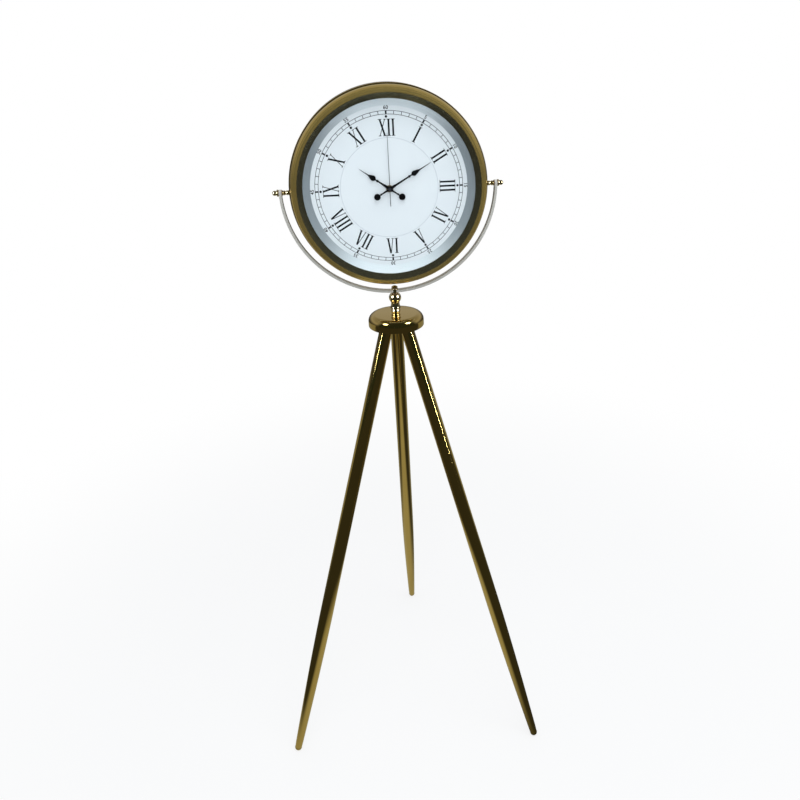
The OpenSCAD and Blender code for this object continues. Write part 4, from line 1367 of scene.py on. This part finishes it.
@dataclass(frozen=True)
class Lettering:
    """Roman letters with thick and thin strokes and hairline serifs, in millimetres."""

    height: float = 29.0
    thick: float = 3.2
    thin: float = 1.25
    serif: float = 0.9
    reach: float = 1.8
    flare: float = 0.7
    rise: float = 0.8
    gap: float = 0.9
    wide: float = 14.7

    def bar(self, bottom: float, top: float, weight: float) -> list[list[Point]]:
        """A straight stroke from one level to the other with a serif at each end, as outlines.

        Args:
            bottom: Middle of its lower end.
            top: Middle of its upper end.
            weight: Its thickness.

        Returns:
            The stroke, then its serifs.
        """
        h, s, half = self.height, self.serif, weight / 2
        low, high, flare = s * 0.5, h - s * 0.5, half + self.flare
        out = [[(bottom - half, low), (bottom + half, low), (top + half, high), (top - half, high)]]
        for x, level, edge, inner in ((bottom, 0.0, s, s + self.rise), (top, h - s, h - s, h - s - self.rise)):
            out.append(block(x - half - self.reach, x + half + self.reach, level, level + s))
            out.append([(x - flare, edge), (x + flare, edge), (x + half * 0.9, inner), (x - half * 0.9, inner)])
        return out

    def letter(self, name: str) -> tuple[list[list[Point]], float]:
        """Outlines of one letter and its width.

        Args:
            name: I, V or X.

        Returns:
            The outlines and the width.
        """
        if name == "I":
            middle = self.thick / 2 + self.reach
            return self.bar(middle, middle, self.thick), 2 * middle
        left = self.thick / 2 + self.reach
        right = self.wide - self.thin / 2 - self.reach
        if name == "X":
            return self.bar(right - 0.6, left, self.thick) + self.bar(left - 0.4, right, self.thin), self.wide
        foot = self.wide / 2 + 0.4
        h = self.height
        strokes = self.bar(foot, left, self.thick)[:1] + self.bar(foot + 0.7, right, self.thin)[:1]
        strokes.append([(foot - self.thick / 2, 0.3), (foot + 0.2, -0.1), (foot + 1.2, 0.3), (foot + 1.2, 0.9),
                        (foot - self.thick / 2, 0.9)])
        for x, weight in ((left, self.thick), (right, self.thin)):
            r = weight / 2 + self.reach
            strokes.append(block(x - r, x + r, h - self.serif, h))
        return strokes, self.wide

    def word(self, letters: str) -> list[list[Point]]:
        """Outlines of a numeral, centred on X with Y from 0 to the height.

        Args:
            letters: The numeral.

        Returns:
            The outlines of all its letters.
        """
        placed: list[list[Point]] = []
        x = 0.0
        for name in letters:
            outlines, width = self.letter(name)
            placed += [[(px + x, py) for px, py in outline] for outline in outlines]
            x += width + self.gap
        shift = (x - self.gap) / 2
        return [[(px - shift, py) for px, py in outline] for outline in placed]


@dataclass
class DialFace(Assembly):
    """White dial, its sloping ring and everything printed on it."""

    front: float = -8.0
    thick: float = 1.0
    plate_r: float = 148.0
    ring_in: float = 144.0
    ring_lip: float = 157.5
    ring_out: float = 161.5
    ring_front: float = -19.3
    flange: float = -7.0
    track_out: float = 135.4
    track_in: float = 129.4
    circle_r: float = 89.6
    numeral_out: float = 121.4
    number_r: float = 140.4
    number_h: float = 9.0
    number_bold: float = 0.16
    line_w: float = 0.85
    fine_w: float = 0.6
    tick_w: float = 1.0
    bar_w: float = 2.9
    dot_r: float = 2.2
    dot_at: float = 125.5
    bore: float = 4.2
    sag: float = 0.9
    ripple: float = 0.10
    lettering: Lettering = Lettering()
    numerals: tuple[str, ...] = ("XII", "I", "II", "III", "IV", "V", "VI", "VII", "VIII", "IX", "X", "XI")

    @property
    def printed(self) -> tuple[float, float]:
        """Heights of the back and front of the ink in the dial's frame."""
        return -self.front + 0.02, -self.front + 0.06

    def ring_line(self, radius: float, width: float) -> Shape:
        """A thin printed circle."""
        return turned(block(radius - width / 2, radius + width / 2, *self.printed), 256, closed=True)

    def numeral_shape(self) -> Shape:
        """All twelve numerals, upright at the top and read from the centre at the bottom.

        Returns:
            The numerals in the dial's frame.
        """
        low, high = self.printed
        shape = Shape()
        for hour, word in enumerate(self.numerals):
            turn = Matrix.Rotation(math.radians(-30 * hour), 4, "Z")
            if 4 <= hour <= 8:
                turn = turn @ Matrix.Translation((0, self.numeral_out, 0)) @ Matrix.Rotation(math.pi, 4, "Z")
            else:
                turn = turn @ Matrix.Translation((0, self.numeral_out - self.lettering.height, 0))
            for layer, outline in enumerate(self.lettering.word(word)):
                lift = 0.0004 * (layer % 9)
                shape.add(slab(outline, low, high + lift).moved(turn))
        return shape

    def number(self, step: int) -> bpy.types.Mesh:
        """One of the small minute numbers outside the track, from Blender's own letters.

        Args:
            step: How many steps of five minutes it stands from the top.

        Returns:
            Its mesh in the shared frame, in metres.
        """
        curve = bpy.data.curves.new("number", "FONT")
        curve.body = str(step * 5 or 60)
        curve.size, curve.offset, curve.extrude = self.number_h, self.number_bold, 0.02
        curve.align_x, curve.align_y = "CENTER", "CENTER"
        curve.resolution_u, curve.space_character = 3, 1.05
        holder = bpy.data.objects.new("number", curve)
        bpy.context.scene.collection.objects.link(holder)
        place = (self.layout.face() @ Matrix.Rotation(math.radians(-30 * step), 4, "Z")
                 @ Matrix.Translation((0, self.number_r, self.printed[0] + 0.02))
                 @ Matrix.Diagonal((0.95, 1.0, 1.0, 1.0)))
        made = evaluated(holder, place)
        bpy.data.curves.remove(curve)
        return made

    def build(self) -> None:
        """Makes the dial, its ring and its print."""
        shop, f = self.shop, self.finishes
        face, front, r, bore = self.layout.face(), -self.front, self.plate_r, self.bore
        plate = [(bore, front - self.thick), (r, front - self.thick), (r, front - 0.2), (r - 0.2, front),
                 (bore + 0.2, front), (bore, front - 0.2)]
        shape = turned(plate, 192, closed=True).moved(face)
        shop.piece("dial_plate", shape, f.dial.material(), "head", "dial_white", ("dial",))
        self.build_ring()
        black, grey = f.ink.material(), f.grey_ink.material()
        lines = self.ring_line(self.track_out, self.line_w).add(self.ring_line(self.track_in, self.line_w))
        circle = self.ring_line(self.circle_r, self.fine_w)
        for name, shape, ink in (("dial_numerals", self.numeral_shape(), black), ("track_lines", lines, grey),
                                 ("inner_circle", circle, f.faint_ink.material())):
            shop.piece(name, shape.moved(face), ink, "head", "dial_white")
        low, high = self.printed
        half = (self.track_out - self.track_in) / 2
        tick = slab(block(-self.tick_w / 2, self.tick_w / 2, -half, half), low, high - 0.005)
        bar = slab(block(-self.bar_w / 2, self.bar_w / 2, -half, half), low, high + 0.01)
        dot = slab(arc((0, 0), self.dot_r, 0, 350, 35), low, high + 0.012)
        for name, mark, count, radius, ink in (("minute_ticks", tick, 60, self.track_in + half, grey),
                                               ("hour_bars", bar, 12, self.track_in + half, black),
                                               ("hour_dots", dot, 12, self.dot_at, black)):
            shop.keep(name, self.rings.ring(mark, count, radius, ink, face), ink, "head", "dial_white")
        numbers = finish_mesh(joined("minute_numbers", map(self.number, range(12))))
        shop.keep("minute_numbers", numbers, black, "head", "dial_white")

    def build_ring(self) -> None:
        """Makes the sloping ring with its shallow turned steps."""
        r, z, lip_r, lip, out = self.ring_in, -self.front, self.ring_lip, -self.ring_front, self.ring_out
        slope = []
        for s in parts(32):
            sag = self.sag * math.sin(math.pi * s)
            step = self.ripple * math.sin(2 * math.pi * 4 * s)
            slope.append((r + (lip_r - r) * s + sag * 0.6, z + 0.3 + (lip - z - 0.3) * s - sag + step))
        back = [(out, lip), (out, -self.flange), (out - 0.8, -self.flange), (out - 0.8, lip - 0.8),
                (lip_r + 0.6, lip - 0.8), (r + 3.4, z)]
        # The ring's grey sides are painted shade, set by position rather than by light.
        satin = SatinRing("satin_ring", light=(0.84, 0.91, 0.95), dark=(0.74, 0.81, 0.85), rough=(0.40, 0.50),
                          centre=tuple(self.layout.head_centre), depth=0.15, metal=0.1).material()
        shape = turned([(r, z)] + slope + back, 256, closed=True).moved(self.layout.face())
        self.shop.piece("sloping_ring", shape, satin, "head", "satin_ring", ("dial_ring",), sharp=40)


@dataclass(frozen=True)
class HandCut:
    """Outline sizes of one spade hand, in millimetres from its pivot."""

    length: float
    bulb_at: float
    bead_at: float
    bulb_len: float
    bulb_w: float
    hub: float
    bore: float
    tail: float = 27.0
    tail_r: float = 6.0

    def outline(self) -> list[Point]:
        """Right-hand side of the hand from the tip to the tail, then mirrored back up.

        Returns:
            Corners anticlockwise.
        """
        half, top = self.bulb_w / 2, self.bulb_at + self.bulb_len
        right = [(0.32, self.length), (0.55, self.length - 6), (0.9, top + 3), (1.15, top),
                 (half * 0.42, self.bulb_at + self.bulb_len * 0.75),
                 (half * 0.62, self.bulb_at + self.bulb_len * 0.58)]
        right += arc((0, self.bulb_at), half, 38, -58, 14)
        right += [(1.15, self.bulb_at - half * 1.15), (1.0, self.bead_at + 3.2)]
        right += arc((0, self.bead_at), 2.3, 60, -60, 8)
        right += [(1.25, self.bead_at - 2.6), (1.8, 14.0), (2.5, 9.5), (2.3, 6.0)]
        right += arc((0, 0), self.hub, 55, -55, 12)
        right += [(1.7, -7.0), (1.15, -self.tail + 11.2)]
        right += arc((0, -self.tail + 8.6), 1.9, 52, -52, 6)
        right += [(0.95, -self.tail + 6.4), (0.95, -self.tail + 5.6)]
        right += arc((0, -self.tail), self.tail_r, 78, -90, 20)
        left = [(-x, y) for x, y in reversed(right) if abs(x) > 1e-6]
        return list(reversed(right + left))


@dataclass
class Hands(Assembly):
    """Hour, minute and second hands at ten past ten."""

    hour_at: float = 12.6
    minute_at: float = 14.6
    second_at: float = 16.8
    hour_turn: float = 305.0
    minute_turn: float = 60.0
    sheet: float = 0.6
    crown: float = 0.16
    hour: HandCut = HandCut(65.0, 36.0, 26.4, 10.0, 10.0, 5.0, 2.2)
    minute: HandCut = HandCut(88.0, 52.8, 42.4, 12.0, 9.6, 4.2, 1.2)
    needle: tuple[Point, ...] = ((0.32, 99.0), (0.5, 60.0), (0.55, 0.0), (0.6, -31.0))
    needle_hub: float = 3.0

    def frame(self, turn: float) -> Matrix:
        """Frame of a hand turned clockwise from twelve by an angle in degrees."""
        return self.layout.face() @ Matrix.Rotation(math.radians(-turn), 4, "Z")

    def collar(self, outer: float, inner: float, low: float, high: float) -> Shape:
        """The collet or pipe in the middle of a hand.

        Args:
            outer: Its outer radius.
            inner: Its inner radius.
            low: Height of its back.
            high: Height of its front.

        Returns:
            The collar in the dial's frame.
        """
        edge = 0.12
        return turned([(inner, low), (outer - edge, low), (outer, low + edge), (outer, high - edge),
                       (outer - edge, high), (inner, high)], 48, closed=True)

    def build(self) -> None:
        """Makes the three hands and dresses the nut on the bush."""
        shop, f = self.shop, self.finishes
        black, grey = f.hands.material(), f.thin_hand.material()
        for name, cut, front, turn in (("hour", self.hour, self.hour_at, self.hour_turn),
                                       ("minute", self.minute, self.minute_at, self.minute_turn)):
            blade = crowned(cut.outline(), front - self.sheet, front, self.crown)
            blade.add(self.collar(cut.bore + 1.2, cut.bore, front - 1.2, front + 0.05))
            blade = blade.moved(self.frame(turn))
            shop.piece(f"{name}_blade", blade, black, name, "hand_black", (f"{name}_hand",))
        side, top, r = list(self.needle), self.second_at, self.needle_hub
        needle = [(-x, y) for x, y in side] + side[::-1]
        seconds = crowned(needle, top - 0.4, top, 0.1)
        seconds.add(turned([(0.0, top - 0.45), (r - 0.1, top - 0.45), (r, top - 0.3), (r, top - 0.1),
                            (r - 0.2, top), (0.0, top)], 48))
        seconds.add(self.collar(1.4, 0.5, top - 1.8, top - 0.2))
        seconds = seconds.moved(self.frame(0.0))
        shop.piece("second_needle", seconds, grey, "second", "hand_grey", ("second_hand",))
        shop.dress(("bush_nut",), f.back_brass.material())


@dataclass
class Movement(Assembly):
    """Quartz movement behind the dial: its nodes keep their CAD shape, and the setting knob gets its grip."""

    knob_r: float = 6.0
    knob_at: float = 10.4
    knob_down: float = 12.999
    rib_r: float = 0.55
    ribs: int = 24

    def build(self) -> None:
        """Dresses the movement and makes the setting knob."""
        shop, f = self.shop, self.finishes
        for nodes, finish in (
                (("movement_housing", "movement_cover"), f.black),
                (("train_bridge", "coil_bobbin", "hour_wheel", "cannon_pinion", "centre_wheel", "seconds_wheel",
                  "third_wheel", "minute_wheel", "intermediate_wheel"), f.white),
                (("stator", "crystal", "battery_contacts", "rotor"), f.steel),
                (("coil",), f.wire), (("circuit_board",), f.board), (("battery",), f.cell),
                (("bush_washer",), f.rubber)):
            shop.dress(nodes, finish.material())
        back = (self.layout.face() @ Matrix.Translation((0, -self.knob_down, 0)) @ Matrix.Rotation(math.pi, 4, "Y")
                @ Matrix.Translation((0, 0, self.knob_at)))
        r = self.knob_r - 0.3
        knob = turned([(0.0, 2.55), (1.2, 2.55), (1.2, 0.0), (r - 0.4, 0.0), (r, 0.4), (r, 3.0), (r - 0.4, 3.4),
                       (r - 1.6, 3.4), (r - 2.0, 3.1), (0.0, 3.1)], 72).moved(back)
        white = f.white.material()
        rib = slab(arc((0, 0), self.rib_r, 0, 320, 8), 0.35, 3.05)
        grip = joined("knob_grip", (knob.mesh("core"), self.rings.ring(rib, self.ribs, r, white, back)))
        shop.keep("knob_grip", grip, white, "minute_wheel", "white_plastic", ("setting_knob",))


@dataclass(frozen=True)
class Lamp:
    """An area lamp, in metres and watts.

    With names in `only` it lights the pieces whose names start so and shows in them. Without them it lights
    everything and shows in nothing.
    """

    name: str
    place: Place
    size: Point
    watts: float
    only: tuple[str, ...] = ()
    target: Place = (0.0, -0.05, 0.9)
    warm: Colour = (1.0, 0.98, 0.94)
    cool: Colour = (0.95, 0.99, 1.0)

    def build(self) -> None:
        """Adds the lamp, pointed at its target."""
        data = bpy.data.lights.new(self.name, "AREA")
        data.shape = "ELLIPSE" if self.only else "RECTANGLE"
        data.size, data.size_y = self.size
        data.energy, data.color = self.watts, self.warm if self.only else self.cool
        thing = bpy.data.objects.new(self.name, data)
        thing.location = self.place
        thing.rotation_euler = (Vector(self.target) - Vector(self.place)).to_track_quat("-Z", "Y").to_euler()
        thing.visible_camera = False
        thing.visible_glossy = bool(self.only)
        bpy.context.scene.collection.objects.link(thing)
        if self.only:
            lit = bpy.data.collections.new(f"{self.name}_lights")
            for other in bpy.data.objects:
                if other.type == "MESH" and other.name.startswith(self.only):
                    lit.objects.link(other)
            thing.light_linking.receiver_collection = lit


@dataclass
class Studio:
    """Floor, lamps, world and camera."""

    layout: Layout
    focal: float = 684.28
    distance: float = 1.2793
    height: float = 1.4713
    pitch: float = 22.988
    roll: float = -1.830
    pan: float = -2.851
    yaw: float = 2.653
    centre: Point = (429.1, 349.3)
    frame_px: float = 800.0
    sensor: float = 36.0
    walls: tuple[Point, ...] = ((0.0, 0.10), (0.16, 0.26), (0.32, 0.44), (0.60, 0.32), (1.0, 0.22))
    turn: Point = (-0.30, 0.12)
    front: Colour = (0.026, 0.032, 0.020)
    sky: Colour = (0.585, 0.61, 0.65)
    floor: float = 9.0
    legs: tuple[str, ...] = ("leg_", "tip_")
    cap: tuple[str, ...] = ("cap",)
    lathe: tuple[str, ...] = ("turned_post", "swivel_dome", "yoke_boss", "spacer_", "pin_end_")

    @property
    def lamps(self) -> tuple[Lamp, ...]:
        """Strips for the legs, round lamps for the cap, panels for the turned parts, and two for everything.

        Returns:
            The lamps, in order.
        """
        return (Lamp("strip_left", (-1.75, -1.15, 1.24), (0.04, 0.62), 4.7, self.legs),
                Lamp("strip_right", (1.75, -1.15, 1.02), (0.04, 1.05), 7.9, self.legs),
                Lamp("round_left", (-1.32, -0.82, 2.59), (0.7, 0.7), 13.0, self.cap),
                Lamp("round_right", (1.32, -0.82, 2.59), (0.7, 0.7), 13.0, self.cap),
                Lamp("panel_left", (-1.5, -1.1, 1.75), (1.0, 1.3), 32.0, self.lathe),
                Lamp("panel_right", (1.5, -1.1, 1.75), (1.0, 1.3), 32.0, self.lathe),
                Lamp("overhead", (0.5, -0.9, 3.2), (2.0, 1.6), 30.0, target=(0.0, 0.0, 0.6)),
                Lamp("front_fill", (0.0, -2.2, 2.0), (2.0, 1.2), 13.0, target=(0.0, 0.0, 1.2)))

    def world(self) -> None:
        """Sets a world that is white to the camera, soft grey as light, and in reflections dark in front."""
        made = bpy.data.worlds.new("studio")
        bpy.context.scene.world = made
        made.use_nodes = True
        nodes = NodeTree(made.node_tree)
        lights = nodes.node("ShaderNodeLightPath")
        way = nodes.node("ShaderNodeTexCoord").outputs["Generated"]
        room = nodes.node("ShaderNodeValToRGB", Fac=nodes.part(way, "Z"))
        ramp = room.color_ramp
        while len(ramp.elements) < len(self.walls):
            ramp.elements.new(0.5)
        for element, (where, tone) in zip(ramp.elements, self.walls):
            element.position = where
            element.color = (tone, tone * 0.96, tone * 0.86, 1.0)
        dark = nodes.blend(nodes.rise(nodes.part(way, "Y"), *self.turn), self.front, room.outputs["Color"])
        shiny = nodes.blend(lights.outputs[Ray.GLOSSY.value], self.sky, dark)
        seen = nodes.blend(lights.outputs[Ray.CAMERA.value], shiny, (1.0, 1.0, 1.0))
        light = nodes.node("ShaderNodeBackground", Color=seen, Strength=1.0)
        out = nodes.node("ShaderNodeOutputWorld")
        nodes.feed(out.inputs["Surface"], light.outputs["Background"])

    def camera(self) -> None:
        """Sets the camera that the photograph was fitted with."""
        spin = Matrix.Rotation(math.radians(-self.yaw), 4, "Z")
        place = self.layout.axis * MM + spin @ Vector((0.0, -self.distance, self.height))
        tilt = Matrix.Rotation(math.radians(self.pitch), 3, "X") @ Matrix.Rotation(math.radians(-self.pan), 3, "Z")
        turn = spin.to_3x3() @ tilt.transposed()
        right, ahead, up = (turn @ Vector(v) for v in ((1, 0, 0), (0, 1, 0), (0, 0, 1)))
        r = math.radians(self.roll)
        rolled = math.cos(r) * right + math.sin(r) * up
        top = -math.sin(r) * right + math.cos(r) * up
        data = bpy.data.cameras.new("camera")
        data.sensor_width = self.sensor
        data.lens = self.focal * self.sensor / self.frame_px
        data.shift_x = (self.frame_px / 2 - self.centre[0]) / self.frame_px
        data.shift_y = (self.centre[1] - self.frame_px / 2) / self.frame_px
        data.clip_start = 0.02
        thing = bpy.data.objects.new("camera", data)
        matrix = Matrix((rolled, top, -ahead)).transposed().to_4x4()
        matrix.translation = place
        thing.matrix_world = matrix
        bpy.context.scene.collection.objects.link(thing)
        bpy.context.scene.camera = thing

    def build(self) -> None:
        """Makes the whole studio."""
        mesh = bpy.data.meshes.new("floor")
        mesh.from_pydata([(x, y, 0) for x, y in block(-self.floor, self.floor, -self.floor, self.floor)], [],
                         [(0, 1, 2, 3)])
        mesh.materials.append(StudioFloor("studio_floor").material())
        floor = bpy.data.objects.new("floor", mesh)
        bpy.context.scene.collection.objects.link(floor)
        for lamp in self.lamps:
            lamp.build()
        self.world()
        self.camera()
        settings = bpy.context.scene.view_settings
        settings.view_transform = "Standard"


def main() -> None:
    """Builds the clock and the studio round it, and reports each piece."""
    logging.basicConfig(level=logging.INFO, format="%(name)s: %(message)s")
    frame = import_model()
    layout, finishes, shop, rings = Layout(), Finishes(), Workshop(frame), RingRule()
    for assembly in (Tripod, PostAndYoke, TiltPins, ClockCase, DialFace, Hands, Movement):
        assembly(layout, finishes, shop, rings).build()
    Studio(layout).build()
    LOG.info("%d pieces made", shop.made)


if __name__ == "__main__":
    main()
